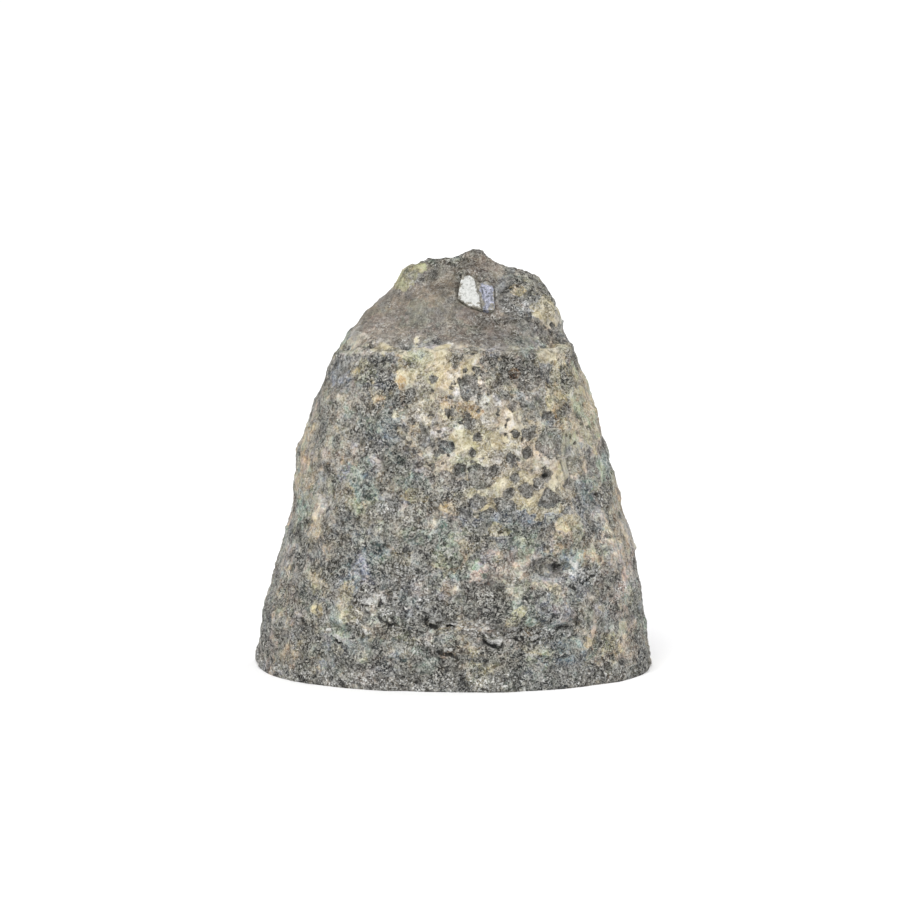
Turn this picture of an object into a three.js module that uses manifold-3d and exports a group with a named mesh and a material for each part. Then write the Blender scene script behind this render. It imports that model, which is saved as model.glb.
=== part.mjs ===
// An amethyst geode that stands on a sawn base, in millimetres, +Z up. The rough outer side of the basalt nodule
// faces -Y, and the open hollow, lined with a crust of amethyst points, faces +Y. The origin is in the middle of
// the base.
import * as THREE from "three";
import { ImprovedNoise } from "three/addons/math/ImprovedNoise.js";
import { mergeVertices } from "three/addons/utils/BufferGeometryUtils.js";
import Module from "manifold-3d";

const wasm = await Module();
wasm.setup();

// Driving dimensions.
const HEIGHT = 208; // sawn base to the highest peak
const WIDEST_SKEW = -0.09; // the widest line runs back on the left and forward on the right
const GAP = 0.35; // left between solids that grew against each other

// The hollow: its mouth's lower and upper lip, the rind left beside it, and how deep it goes.
const MOUTH = { bottom: 16, top: 191, rim: 13, rimVaries: 4, squareness: 2.8 };
const HOLLOW_DEPTH = { base: 71, crest: 37 }; // shrinks evenly with height
const HOLLOW_CURVE = { floor: 2.6, wall: 0.55 }; // a flat floor that turns up into a steep wall
const WALL_WAVES = { height: 2.4, length: 24 };
const PAST_MOUTH = 40; // how far cutting solids run out of the mouth

// The crust: a layer of quartz with amethyst points standing on it.
const BED = 3.5;
const CRYSTALS = { count: 86, seed: 30, leastRadius: 5, mostRadius: 12.5, spacing: 0.74, tilt: 0.5 };
const CRYSTAL_SHOULDER = [0.15, 0.6]; // prism height in radii
const CRYSTAL_POINT = [1.05, 1.35]; // height of the six-sided point in radii
const CRYSTAL_FOOT = 0.92; // a prism is a little narrower at its root
const WALL_COVERED = 0.9; // crystals stop this share of the way from the bowl's middle to its mouth

// Mesh density of the grown surfaces. Rows crowd towards the crest, and columns towards the rough side.
const NODULE_MESH = { rows: 28, columns: 44, rowCrowding: 1.45, columnCrowding: 0.3 };
const HOLLOW_MESH = { rings: 7, sectors: 24 };
const BED_MESH = { rings: 5, sectors: 14 };

const noise = new ImprovedNoise();

/** A repeatable stream of numbers from 0 to 1. */
function seeded(seed) {
  let state = seed;
  return () => {
    state = (Math.imul(state, 1664525) + 1013904223) >>> 0;
    return state / 4294967296;
  };
}

/** A smooth curve through [height, value] pairs, read at any height. */
function profile(pairs) {
  const heights = pairs.map((pair) => pair[0]);
  const values = pairs.map((pair) => pair[1]);
  const spline = new THREE.CubicInterpolant(heights, values, 1);
  return (height) => spline.evaluate(THREE.MathUtils.clamp(height, 0, HEIGHT))[0];
}

// Left and right edges of the outline, and how far the nodule reaches back (-Y) and forward (+Y) of its widest
// line.
const leftEdge = profile([
  [0, -98.5], [26, -95.5], [50, -88.5], [75, -81.5], [110, -75.5], [134, -68], [159, -57],
  [176, -45], [190, -31], [200, -21.5], [203.5, -13], [HEIGHT, 9],
]);
const rightEdge = profile([
  [0, 98], [26, 95.5], [50, 92.5], [68, 87.5], [88, 81.5], [111, 75], [134, 69], [158, 59.5],
  [171, 52.5], [190, 46.5], [196, 39], [199, 28], [204, 18.5], [HEIGHT, 11],
]);
const backReach = profile([
  [0, 72], [30, 71], [60, 68], [100, 61.5], [135, 54], [150, 49], [157, 45.5], [162, 41], [167, 35],
  [174, 28], [184, 18.5], [192, 11.5], [200, 6], [HEIGHT, 0.5],
]);
const farReach = profile([[0, 21], [60, 20], [120, 16], [160, 12], [185, 8], [200, 4.5], [HEIGHT, 0.5]]);

// Swellings all over the rough side, by height and length. The other side has less of them.
const BROAD_SWELLING = { height: 1.9, length: 31 };
const FINE_SWELLING = { height: 1.7, length: 12 };
const FAR_SIDE_SHARE = 0.3;
const OUTLINE_SHARE = 0.4; // left of them where the nodule is widest

// How square the plan is: 2 is an ellipse, more is boxier.
const SQUARENESS = { backLeft: 2.35, backRight: 1.8, far: 4.5 };

// Swellings and dents of the rough side: across and up, their spreads, and how far they stand out.
const LUMPS = [
  { x: -76, z: 108, wide: 9, tall: 6, out: 2.2 }, // knob on the left edge
  { x: -79, z: 88, wide: 9, tall: 5, out: 1 },
  { x: 88, z: 68, wide: 8, tall: 5, out: 1.6 }, // step on the right edge
  { x: 86, z: 80, wide: 9, tall: 4, out: -1.2 },
  { x: 25, z: 37, wide: 38, tall: 6, out: 2.4 }, // ledge above the long crevice
  { x: 30, z: 20, wide: 44, tall: 9, out: -1.8 },
  { x: -48, z: 36, wide: 24, tall: 8, out: 1.6 },
  { x: 42, z: 110, wide: 22, tall: 14, out: 2.2 }, // swelling in the pitted crust
  { x: -8, z: 128, wide: 20, tall: 16, out: 1.5 },
  { x: 12, z: 70, wide: 30, tall: 12, out: -2 },
  { x: 48, z: 57, wide: 10, tall: 6, out: -3 }, // dark hole
  { x: -30, z: 184, wide: 16, tall: 12, out: -2 }, // scooped slope above the ridge
  { x: 14, z: 172, wide: 20, tall: 7, out: -2 },
  { x: 38, z: 184, wide: 8, tall: 9, out: 1.6 },
];

const CREST = { starts: HEIGHT - 22, full: HEIGHT - 4, steadied: 0.7 }; // its swellings are steadied
const CREST_NOTCH = { x: -2, wide: 4.5, deep: 4 };

// Crevices under the ledges of the rough side, as [across, up] stations.
const CREVICES = [
  { stations: [[-13, 33], [2, 31.5], [10, 29], [24, 28.5], [38, 30], [50, 29], [60, 31]], half: 2.8 },
  { stations: [[-62, 29], [-52, 27.5], [-42, 26]], half: 2.4 },
  { stations: [[-24, 40], [-12, 46], [0, 44]], half: 2 },
  { stations: [[40, 59], [49, 57], [56, 59]], half: 2.6 },
];

// Vesicles weathered out of the rock: each field is scattered inside an ellipse of the rough side.
const PIT_SEED = 41;
const PIT_LIFT = 0.2; // of its radius, how far a pit's middle lies outside the surface
const PIT_FIELDS = [
  { x: 26, z: 122, wide: 44, tall: 36, count: 24, radius: [3, 5.4] },
  { x: -42, z: 120, wide: 26, tall: 40, count: 5, radius: [2.4, 3.6] },
  { x: 20, z: 54, wide: 66, tall: 26, count: 6, radius: [2.4, 4] },
];

// The chipped window near the crest: its outline as across and up-slope, and the groove between its two plates.
const WINDOW_CENTRE = { x: 11, z: 188 };
const WINDOW_REACH = 8; // from its middle to its edges
const WINDOW_THICKNESS = 3;
const WINDOW_PROUD = 0.5;
const WINDOW_CLEARED = 12; // cut away in front of it
const WINDOW_OUTLINE = [
  [-6.8, 10.5], [-1.2, 8.8], [2.2, 5.6], [5.8, 6], [8.8, 2.2], [9.3, -11.2], [3.8, -10.6], [-3.2, -8.6],
  [-8.8, -4.2], [-8.2, 2.9],
];
const GROOVE_OUTLINE = [[-0.6, 8.8], [2.1, 6.4], [3.4, 0.5], [5.2, -12], [3.6, -12], [1.7, -1], [0.2, 3.5]];
const GROOVE_DEPTH = 1;

/** The power of a number's size, with its sign kept. */
function signedPower(value, power) {
  return Math.sign(value) * Math.abs(value) ** power;
}

/** The nodule's plan at a height: the middle of its outline and half its width. */
function spanAt(height) {
  const left = leftEdge(height);
  const right = rightEdge(height);
  return { middle: (left + right) / 2, half: (right - left) / 2 };
}

/** How square the plan is at a turn around it: 0 is the right edge, a quarter turn back is the rough side. */
function squarenessAt(turn) {
  if (Math.sin(turn) > 0) return SQUARENESS.far;
  return Math.cos(turn) > 0 ? SQUARENESS.backRight : SQUARENESS.backLeft;
}

/** A point of the nodule's smooth form, before its relief. */
function formPoint(height, turn) {
  const { middle, half } = spanAt(height);
  const power = 2 / squarenessAt(turn);
  const x = middle + half * signedPower(Math.cos(turn), power);
  const reach = Math.sin(turn) > 0 ? farReach(height) : backReach(height);
  const y = WIDEST_SKEW * x + reach * signedPower(Math.sin(turn), power);
  return new THREE.Vector3(x, y, height);
}

/** The outward direction of the smooth form. */
function formNormal(height, turn) {
  const turnStep = 0.02;
  const heightStep = 2;
  const low = Math.max(height - heightStep, 0);
  const high = Math.min(height + heightStep, HEIGHT - 1);
  const around = formPoint(height, turn + turnStep).sub(formPoint(height, turn - turnStep));
  const up = formPoint(high, turn).sub(formPoint(low, turn));
  return around.cross(up).normalize();
}

/** The height of a swelling pattern at a point. */
function swelling({ height, length }, point) {
  return height * noise.noise(point.x / length + height, point.y / length, point.z / length);
}

/** How far the surface stands out from the smooth form: broad and fine swellings, then the named lumps. */
function relief(point, turn) {
  const swellings = swelling(BROAD_SWELLING, point) + swelling(FINE_SWELLING, point);
  if (Math.sin(turn) > 0) return FAR_SIDE_SHARE * swellings;
  const named = LUMPS.reduce((sum, lump) => {
    const across = (point.x - lump.x) / lump.wide;
    const along = (point.z - lump.z) / lump.tall;
    return sum + lump.out * Math.exp(-across * across - along * along);
  }, 0);
  const nearOutline = Math.abs(Math.cos(turn)) ** 6;
  return swellings * THREE.MathUtils.lerp(1, OUTLINE_SHARE, nearOutline) + named;
}

/** A point of the nodule's surface. */
function nodulePoint(height, turn) {
  const point = formPoint(height, turn);
  const out = formNormal(height, turn).multiplyScalar(relief(point, turn));
  const nearCrest = THREE.MathUtils.smoothstep(height, CREST.starts, CREST.full);
  point.add(out.multiplyScalar(1 - CREST.steadied * nearCrest));
  const across = (point.x - CREST_NOTCH.x) / CREST_NOTCH.wide;
  point.z -= nearCrest * CREST_NOTCH.deep * Math.exp(-across * across);
  if (height === 0) point.z = 0;
  return point;
}

/** A closed geometry from rings of points, closed by one point before the first ring and one after the last. */
function ringsGeometry(first, rings, last) {
  const size = rings[0].length;
  const points = [first, ...rings.flat(), last];
  const at = (ring, place) => 1 + ring * size + (place % size);
  const index = [];
  for (let place = 0; place < size; place += 1) {
    index.push(0, at(0, place + 1), at(0, place));
    index.push(points.length - 1, at(rings.length - 1, place), at(rings.length - 1, place + 1));
    for (let ring = 0; ring < rings.length - 1; ring += 1) {
      const [a, b] = [at(ring, place), at(ring, place + 1)];
      const [c, d] = [at(ring + 1, place + 1), at(ring + 1, place)];
      index.push(a, b, c, a, c, d);
    }
  }
  return new THREE.BufferGeometry().setFromPoints(points).setIndex(index);
}

/** A manifold-3d solid of a closed geometry, moved by a matrix if one is given. */
function toSolid(geometry, matrix) {
  const bare = new THREE.BufferGeometry().setAttribute("position", geometry.getAttribute("position").clone());
  bare.setIndex(geometry.index);
  if (matrix) bare.applyMatrix4(matrix);
  const merged = mergeVertices(bare, 1e-4);
  const mesh = new wasm.Mesh({
    numProp: 3,
    vertProperties: merged.attributes.position.array,
    triVerts: new Uint32Array(merged.index.array),
  });
  return new wasm.Manifold(mesh);
}

/** The geometry of a manifold-3d solid. */
function toGeometry(solid) {
  const mesh = solid.getMesh();
  const geometry = new THREE.BufferGeometry();
  geometry.setAttribute("position", new THREE.BufferAttribute(mesh.vertProperties, 3));
  geometry.setIndex(new THREE.BufferAttribute(mesh.triVerts, 1));
  const flat = geometry.toNonIndexed();
  flat.computeVertexNormals();
  return flat;
}

/** The whole nodule as it grew, sawn flat underneath. */
function noduleSolid() {
  const { rows, columns, rowCrowding, columnCrowding } = NODULE_MESH;
  const rings = Array.from({ length: rows }, (_, row) => {
    const height = HEIGHT * (1 - (1 - row / rows) ** rowCrowding);
    return Array.from({ length: columns }, (__, column) => {
      const turn = (column / columns) * 2 * Math.PI;
      return nodulePoint(height, turn - columnCrowding * Math.cos(turn));
    });
  });
  const middle = new THREE.Vector3(0, (farReach(0) - backReach(0)) / 2, 0);
  return toSolid(ringsGeometry(middle, rings, nodulePoint(HEIGHT, -Math.PI / 2)));
}

/** The turn that puts the rough side's smooth form above a place across, at a height. */
function turnAt(x, height) {
  const { middle, half } = spanAt(height);
  const across = THREE.MathUtils.clamp((x - middle) / half, -0.98, 0.98);
  const power = (across > 0 ? SQUARENESS.backRight : SQUARENESS.backLeft) / 2;
  return -Math.acos(signedPower(across, power));
}

/** A place on the rough side, given across and up: the point and the outward direction there. */
function roughPlace(x, height) {
  const turn = turnAt(x, height);
  return { point: nodulePoint(height, turn), normal: formNormal(height, turn) };
}

/** Solids to take out of the rough side where vesicles have weathered out. */
function pitSolids() {
  const random = seeded(PIT_SEED);
  return PIT_FIELDS.flatMap((field) =>
    Array.from({ length: field.count }, () => {
      const angle = 2 * Math.PI * random();
      const distance = Math.sqrt(random());
      const x = field.x + field.wide * distance * Math.cos(angle);
      const z = field.z + field.tall * distance * Math.sin(angle);
      const radius = THREE.MathUtils.lerp(...field.radius, random() ** 2);
      const { point, normal } = roughPlace(x, z);
      const place = new THREE.Matrix4().compose(
        point.addScaledVector(normal, PIT_LIFT * radius),
        new THREE.Quaternion().setFromEuler(new THREE.Euler(6 * random(), 6 * random(), 6 * random())),
        new THREE.Vector3(radius, radius, radius),
      );
      return toSolid(new THREE.IcosahedronGeometry(1, 0), place);
    }),
  );
}

/** Solids to take out under the ledges: a wedge run along each crevice, half its width across. */
function creviceSolids() {
  return CREVICES.map(({ stations, half }) => {
    const route = stations.map(([x, z]) => {
      const { point, normal } = roughPlace(x, z);
      return point.addScaledVector(normal, 0.2 * half);
    });
    const section = new THREE.Shape(
      [[-1, -1.6], [1, -1], [0.8, 1], [-1, 1.4]].map(([x, y]) => new THREE.Vector2(x * half, y * half)),
    );
    const geometry = new THREE.ExtrudeGeometry(section, {
      extrudePath: new THREE.CatmullRomCurve3(route),
      steps: stations.length * 2,
      bevelEnabled: false,
    });
    return toSolid(geometry);
  });
}

/** The slope that the window lies in: its middle and outward direction, taken over the whole window. */
function windowSlope() {
  const { x, z } = WINDOW_CENTRE;
  const [left, right] = [-WINDOW_REACH, WINDOW_REACH].map((step) => roughPlace(x + step, z).point);
  const [low, high] = [-WINDOW_REACH, WINDOW_REACH].map((step) => roughPlace(x, z + step).point);
  const point = new THREE.Vector3().add(left).add(right).add(low).add(high).divideScalar(4);
  return { point, normal: right.sub(left).cross(high.sub(low)).normalize() };
}

/** An outline of the window run from level to level along the slope's normal. Grown moves its edges outwards. */
function windowSlab(outline, from, to, grown = 0) {
  const { point, normal } = windowSlope();
  const upSlope = new THREE.Vector3(0, 0, 1).addScaledVector(normal, -normal.z).normalize();
  const across = upSlope.clone().cross(normal);
  const shape = new THREE.Shape(outline.map(([x, y]) => {
    const corner = new THREE.Vector2(x, y);
    return corner.setLength(corner.length() + grown);
  }));
  const geometry = new THREE.ExtrudeGeometry(shape, { depth: to - from, bevelEnabled: false });
  const place = new THREE.Matrix4().makeBasis(across, upSlope, normal);
  place.setPosition(point.addScaledVector(normal, from));
  return toSolid(geometry, place);
}

/** The exposed patch of quartz: two plates with a groove between them. */
function windowSolid() {
  const plates = windowSlab(WINDOW_OUTLINE, -WINDOW_THICKNESS, WINDOW_PROUD);
  return plates.subtract(windowSlab(GROOVE_OUTLINE, WINDOW_PROUD - GROOVE_DEPTH, WINDOW_PROUD + 1));
}

/** The recess that the exposed patch lies in. */
function windowRecess() {
  return windowSlab(WINDOW_OUTLINE, -WINDOW_THICKNESS - GAP, WINDOW_CLEARED, GAP);
}

/** A point of the hollow's wall, shrunk inwards: share is 0 in the middle of the bowl and 1 at its mouth. */
function bowlPoint(share, turn, shrunk) {
  const middleHeight = (MOUTH.top + MOUTH.bottom) / 2;
  const halfHeight = (MOUTH.top - MOUTH.bottom) / 2 - shrunk;
  const power = 2 / MOUTH.squareness;
  const edgeHeight = middleHeight + halfHeight * signedPower(Math.sin(turn), power);
  const { middle, half } = spanAt(edgeHeight);
  const rim = MOUTH.rim + MOUTH.rimVaries * noise.noise(1.7 * Math.cos(turn), 1.7 * Math.sin(turn), 0.4);
  const edgeX = middle + (half - rim - shrunk) * signedPower(Math.cos(turn), power);
  const x = THREE.MathUtils.lerp(spanAt(middleHeight).middle, edgeX, share);
  const z = THREE.MathUtils.lerp(middleHeight, edgeHeight, share);
  const depth = THREE.MathUtils.lerp(HOLLOW_DEPTH.base, HOLLOW_DEPTH.crest, z / HEIGHT) - shrunk;
  const across = new THREE.Vector3(x, 0, z);
  const waves = swelling(WALL_WAVES, across) * (1 - share);
  const face = WIDEST_SKEW * x + farReach(z) - 1;
  const bowl = depth * (1 - share ** HOLLOW_CURVE.floor) ** HOLLOW_CURVE.wall;
  return new THREE.Vector3(x, face - bowl + waves, z);
}

/** The space of the hollow, shrunk inwards, run forward out of the mouth. */
function hollowSolid(shrunk = 0, mesh = HOLLOW_MESH) {
  const ringAt = (share, forward) =>
    Array.from({ length: mesh.sectors }, (_, sector) => {
      const point = bowlPoint(share, (sector / mesh.sectors) * 2 * Math.PI, shrunk);
      point.y += forward;
      return point;
    });
  const rings = [ringAt(1, PAST_MOUTH)];
  for (let ring = mesh.rings; ring > 0; ring -= 1) {
    rings.push(ringAt(Math.sin((ring / mesh.rings) * (Math.PI / 2)), 0));
  }
  const front = bowlPoint(0, 0, shrunk);
  front.y = rings[0][0].y;
  return toSolid(ringsGeometry(front, rings, bowlPoint(0, 0, shrunk)));
}

/** The direction out of the hollow's wall, into the hollow. */
function bowlNormal(share, turn, shrunk) {
  const step = 0.02;
  const outer = bowlPoint(Math.min(share + step, 1), turn, shrunk);
  const outward = outer.sub(bowlPoint(Math.max(share - step, 0), turn, shrunk));
  const around = bowlPoint(share, turn + step, shrunk).sub(bowlPoint(share, turn - step, shrunk));
  return around.cross(outward).normalize();
}

/** One amethyst point on +Y: six prism faces and six faces that meet at a tip a little off its axis. */
function crystalGeometry(radius, random) {
  const root = -BED / 2;
  const shoulder = radius * THREE.MathUtils.lerp(...CRYSTAL_SHOULDER, random());
  const tip = shoulder + radius * THREE.MathUtils.lerp(...CRYSTAL_POINT, random());
  const side = [[0, root], [radius * CRYSTAL_FOOT, root], [radius, shoulder], [0, tip]];
  const geometry = new THREE.LatheGeometry(side.map(([r, y]) => new THREE.Vector2(r, y)), 6);
  const position = geometry.getAttribute("position");
  const [offX, offZ] = [random(), random()].map((value) => (value - 0.5) * 0.5 * radius);
  for (let vertex = 0; vertex < position.count; vertex += 1) {
    if (position.getY(vertex) > shoulder + 0.01) position.setXYZ(vertex, offX, tip, offZ);
  }
  return geometry;
}

/** The crystals of the crust, packed over the hollow's wall with the larger ones placed first. */
function crystalSolids() {
  const { count, seed, leastRadius, mostRadius, spacing, tilt } = CRYSTALS;
  const random = seeded(seed);
  const placed = [];
  const mostTries = 20000;
  for (let tries = 0; placed.length < count && tries < mostTries; tries += 1) {
    const radius = THREE.MathUtils.lerp(mostRadius, leastRadius, placed.length / count);
    const share = Math.sqrt(1 - (1 - WALL_COVERED * random()) ** 2); // spreads evenly over a bowl
    const turn = 2 * Math.PI * random();
    const point = bowlPoint(share, turn, BED);
    if (placed.some((other) => other.point.distanceTo(point) < spacing * (other.radius + radius))) continue;
    const normal = bowlNormal(share, turn, BED);
    const lean = new THREE.Vector3(random() - 0.5, random(), random() - 0.5).multiplyScalar(tilt);
    placed.push({ point, normal: normal.add(lean).normalize(), radius });
  }
  const up = new THREE.Vector3(0, 1, 0);
  return placed.map(({ point, normal, radius }) => {
    const stand = new THREE.Quaternion().setFromUnitVectors(up, normal);
    stand.multiply(new THREE.Quaternion().setFromAxisAngle(up, 2 * random()));
    const place = new THREE.Matrix4().compose(point, stand, new THREE.Vector3(1, 1, 1));
    return toSolid(crystalGeometry(radius, random), place);
  });
}

/** The crust: the hollow's space, cut off flush with the rim, less the room left between the crystals. */
function crustSolid(nodule) {
  const crystals = crystalSolids().reduce((joined, crystal) => joined.add(crystal));
  const room = hollowSolid(GAP + BED, BED_MESH).subtract(crystals);
  return hollowSolid(GAP).intersect(nodule).subtract(room);
}

/** The basalt wall of the nodule: its whole form less the pits, the crevices, the window's recess and the hollow. */
function rindSolid(nodule) {
  const cutters = [...pitSolids(), ...creviceSolids(), windowRecess(), hollowSolid()];
  return cutters.reduce((rock, cutter) => rock.subtract(cutter), nodule);
}

/** A named mesh with its own matt or glossy mineral material. */
function mineralMesh(name, solid, color, roughness) {
  const material = new THREE.MeshStandardMaterial({ name, color, roughness, metalness: 0 });
  const mesh = new THREE.Mesh(toGeometry(solid), material);
  mesh.name = name;
  return mesh;
}

/** The whole geode, moved so that its origin is in the middle of its base. */
function buildGeode() {
  const nodule = noduleSolid();
  const geode = new THREE.Group();
  geode.add(
    mineralMesh("rock_rind", rindSolid(nodule), 0x8e8a80, 0.85),
    mineralMesh("amethyst_crust", crustSolid(nodule), 0x6b4a9c, 0.15),
    mineralMesh("quartz_window", windowSolid(), 0xdddce0, 0.35),
  );
  const bounds = new THREE.Box3().setFromObject(geode);
  const centre = bounds.getCenter(new THREE.Vector3());
  for (const mesh of geode.children) mesh.geometry.translate(-centre.x, -centre.y, -bounds.min.z);
  return geode;
}

export default buildGeode();
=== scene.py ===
"""An amethyst geode standing on its sawn base: the rough basalt rind, the crust of amethyst points in its
hollow and the small window of bare quartz near its crest.

The form is worked out in millimetres and kept in metres. The rough side faces -Y and the hollow +Y.
"""

import itertools
import logging
import math
from dataclasses import dataclass, field
from enum import Enum
from typing import Optional, Union

import bmesh
import bpy
import numpy as np
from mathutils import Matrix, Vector
from mathutils.bvhtree import BVHTree


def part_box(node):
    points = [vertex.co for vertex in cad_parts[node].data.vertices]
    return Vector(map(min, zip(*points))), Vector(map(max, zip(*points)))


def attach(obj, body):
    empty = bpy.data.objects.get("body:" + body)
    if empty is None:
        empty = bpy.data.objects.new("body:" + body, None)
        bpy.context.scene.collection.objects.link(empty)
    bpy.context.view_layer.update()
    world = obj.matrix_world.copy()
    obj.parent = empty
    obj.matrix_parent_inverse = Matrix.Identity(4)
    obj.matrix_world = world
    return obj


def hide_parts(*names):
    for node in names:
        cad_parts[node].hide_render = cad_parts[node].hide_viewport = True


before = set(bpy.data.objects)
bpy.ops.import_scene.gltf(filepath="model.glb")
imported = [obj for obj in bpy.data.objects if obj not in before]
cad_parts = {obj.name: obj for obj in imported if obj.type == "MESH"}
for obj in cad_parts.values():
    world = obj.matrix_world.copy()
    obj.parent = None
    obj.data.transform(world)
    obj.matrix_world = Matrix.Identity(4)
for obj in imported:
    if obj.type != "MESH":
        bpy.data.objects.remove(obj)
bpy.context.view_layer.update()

MM = 0.001
GROOVE_SLANT = 0.23  # how far the groove in the bare quartz leans to -X for each unit up
LOG = logging.getLogger("geode")

Array = np.ndarray
Object = bpy.types.Object
Node = bpy.types.Node
Socket = bpy.types.NodeSocket
Source = Union[Socket, float, str, tuple]  # what feeds an input: a socket, a value or a colour as hex digits


# Colours and number helpers


def paint(code: str) -> tuple[float, ...]:
    """Turns a colour written as six hex digits into the linear values that shaders take.

    Args:
        code: The colour, such as "8f877b".

    Returns:
        Red, green, blue and alpha.
    """
    parts = [int(code[start : start + 2], 16) / 255 for start in (0, 2, 4)]
    linear = [part / 12.92 if part <= 0.04045 else ((part + 0.055) / 1.055) ** 2.4 for part in parts]
    return (*linear, 1.0)


def ease(value: Array, start: float, end: float) -> Array:
    """Rises smoothly from 0 at start to 1 at end, or falls if end is the lower."""
    share = np.clip((value - start) / (end - start), 0, 1)
    return share * share * (3 - 2 * share)


def ridge(value: Array, middle: float, width: float) -> Array:
    """A bell-shaped rise to 1 at a middle value."""
    return np.exp(-(((value - middle) / width) ** 2))


class StoneNoise:
    """Repeatable noise in space, worked out for many points at once."""

    TABLE = 1024
    HASH = (73856093, 19349663, 83492791, 2654435761, 1274126177)

    def __init__(self, seed: int) -> None:
        """Fills the tables of directions and cell middles.

        Args:
            seed: The number that fixes the pattern.
        """
        dice = np.random.default_rng(seed)
        directions = dice.normal(size=(self.TABLE, 3))
        self._directions = directions / np.linalg.norm(directions, axis=1, keepdims=True)
        self._middles = dice.random((self.TABLE, 3))
        self._chances = dice.random(self.TABLE)
        self._seed = seed

    def _codes(self, cells: Array) -> Array:
        """Gives each cell of a grid its place in the tables.

        Args:
            cells: The cells' whole numbers along each axis, one a row.

        Returns:
            Places from 0 to the tables' length.
        """
        x, y, z, own, last = self.HASH
        mixed = cells[:, 0] * x ^ cells[:, 1] * y ^ cells[:, 2] * z ^ self._seed * own
        mixed = (mixed ^ (mixed >> 13)) * last
        return (mixed ^ (mixed >> 16)) % self.TABLE

    def waves(self, points: Array, length: float) -> Array:
        """Smooth noise from about -1 to 1.

        Args:
            points: Places, one a row.
            length: The size of one swelling, in the points' unit.

        Returns:
            One value for each point.
        """
        spot = points / length
        cell = np.floor(spot).astype(np.int64)
        part = spot - cell
        fade = part**3 * (part * (part * 6 - 15) + 10)
        total = np.zeros(len(points))
        for corner in itertools.product((0, 1), repeat=3):
            offset = np.array(corner)
            direction = self._directions[self._codes(cell + offset)]
            reach = ((part - offset) * direction).sum(axis=1)
            total += np.where(offset, fade, 1 - fade).prod(axis=1) * reach
        return total * 1.7

    def rough(self, points: Array, length: float, octaves: int, keep: float = 0.5) -> Array:
        """Several layers of waves, each half as long as the last and keep times as high."""
        layers = [self.waves(points + 31.7 * step, length / 2**step) * keep**step for step in range(octaves)]
        return np.sum(layers, axis=0)

    def cells(self, points: Array, length: float) -> tuple[Array, Array, Array]:
        """Divides space into irregular cells.

        Args:
            points: Places, one a row.
            length: The usual width of a cell.

        Returns:
            The distance to the nearest cell's middle, the distance to the second nearest, and the nearest
            cell's own chance from 0 to 1.
        """
        spot = points / length
        cell = np.floor(spot).astype(np.int64)
        nearest = np.full(len(points), np.inf)
        second = nearest.copy()
        chance = np.zeros(len(points))
        for step in itertools.product((-1, 0, 1), repeat=3):
            corner = cell + np.array(step)
            code = self._codes(corner)
            distance = np.linalg.norm(corner + self._middles[code] - spot, axis=1)
            closer = distance < nearest
            second = np.where(closer, nearest, np.minimum(second, distance))
            chance = np.where(closer, self._chances[code], chance)
            nearest = np.where(closer, distance, nearest)
        return nearest * length, second * length, chance


# Meshes as arrays of millimetres


def rows(items: bpy.types.bpy_prop_collection, name: str, width: int, kind: type = float) -> Array:
    """Reads numbers from each of a mesh's items.

    Args:
        items: The points, edges, corners or normals.
        name: What is read from each.
        width: How many numbers a row has.
        kind: The numbers' type.

    Returns:
        The numbers, in rows.
    """
    values = np.empty(len(items) * width, kind)
    items.foreach_get(name, values)
    return values.reshape(-1, width)


def store(mesh: bpy.types.Mesh, name: str, values: Array) -> None:
    """Keeps one number for each point of a mesh as a named attribute."""
    layer = mesh.attributes.new(name, "FLOAT", "POINT")
    layer.data.foreach_set("value", values.astype(np.float32))


@dataclass
class ArrayMesh:
    """A mesh's points and four-sided faces as arrays."""

    points: Array
    faces: Array
    edges: Array

    @classmethod
    def of(cls, mesh: bpy.types.Mesh) -> "ArrayMesh":
        """Reads a mesh whose faces all have four corners.

        Args:
            mesh: The mesh.

        Returns:
            Its points, faces and edges.
        """
        points = rows(mesh.vertices, "co", 3) / MM
        faces = rows(mesh.loops, "vertex_index", 1, np.int32).reshape(-1, 4)
        return cls(points, faces, rows(mesh.edges, "vertices", 2, np.int32))

    def put_on(self, mesh: bpy.types.Mesh) -> None:
        """Moves a mesh's points to these."""
        mesh.vertices.foreach_set("co", (self.points * MM).ravel())

    def normals(self) -> Array:
        """Works out where the surface faces.

        Returns:
            The outward direction at each point.
        """
        corner = self.points[self.faces]
        across = np.cross(corner[:, 2] - corner[:, 0], corner[:, 3] - corner[:, 1])
        total = np.zeros_like(self.points)
        for place, axis in itertools.product(range(4), range(3)):
            total[:, axis] += np.bincount(self.faces[:, place], across[:, axis], len(self.points))
        return total / np.maximum(np.linalg.norm(total, axis=1, keepdims=True), 1e-12)

    def relaxed(self, values: Array, rounds: int) -> Array:
        """Evens out values over the surface.

        Args:
            values: One row for each point.
            rounds: How many times each point moves half way to the mean of its neighbours.

        Returns:
            The evened values.
        """
        count = len(self.points)
        ends = np.concatenate([self.edges, self.edges[:, ::-1]])
        share = np.bincount(ends[:, 0], minlength=count)[:, None]
        result = values.reshape(count, -1).astype(float)
        for _ in range(rounds):
            sums = [np.bincount(ends[:, 0], column[ends[:, 1]], count) for column in result.T]
            result = 0.5 * result + 0.5 * np.stack(sums, axis=1) / share
        return result.reshape(values.shape)


# Objects


def plain_object(name: str, shape: bmesh.types.BMesh) -> Object:
    """Makes an object at the origin.

    Args:
        name: The name of the object and its mesh.
        shape: Its shape, which is freed.

    Returns:
        The object, linked to the scene.
    """
    mesh = bpy.data.meshes.new(name)
    shape.to_mesh(mesh)
    shape.free()
    mesh.materials.clear()
    obj = bpy.data.objects.new(name, mesh)
    bpy.context.scene.collection.objects.link(obj)
    return obj


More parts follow.
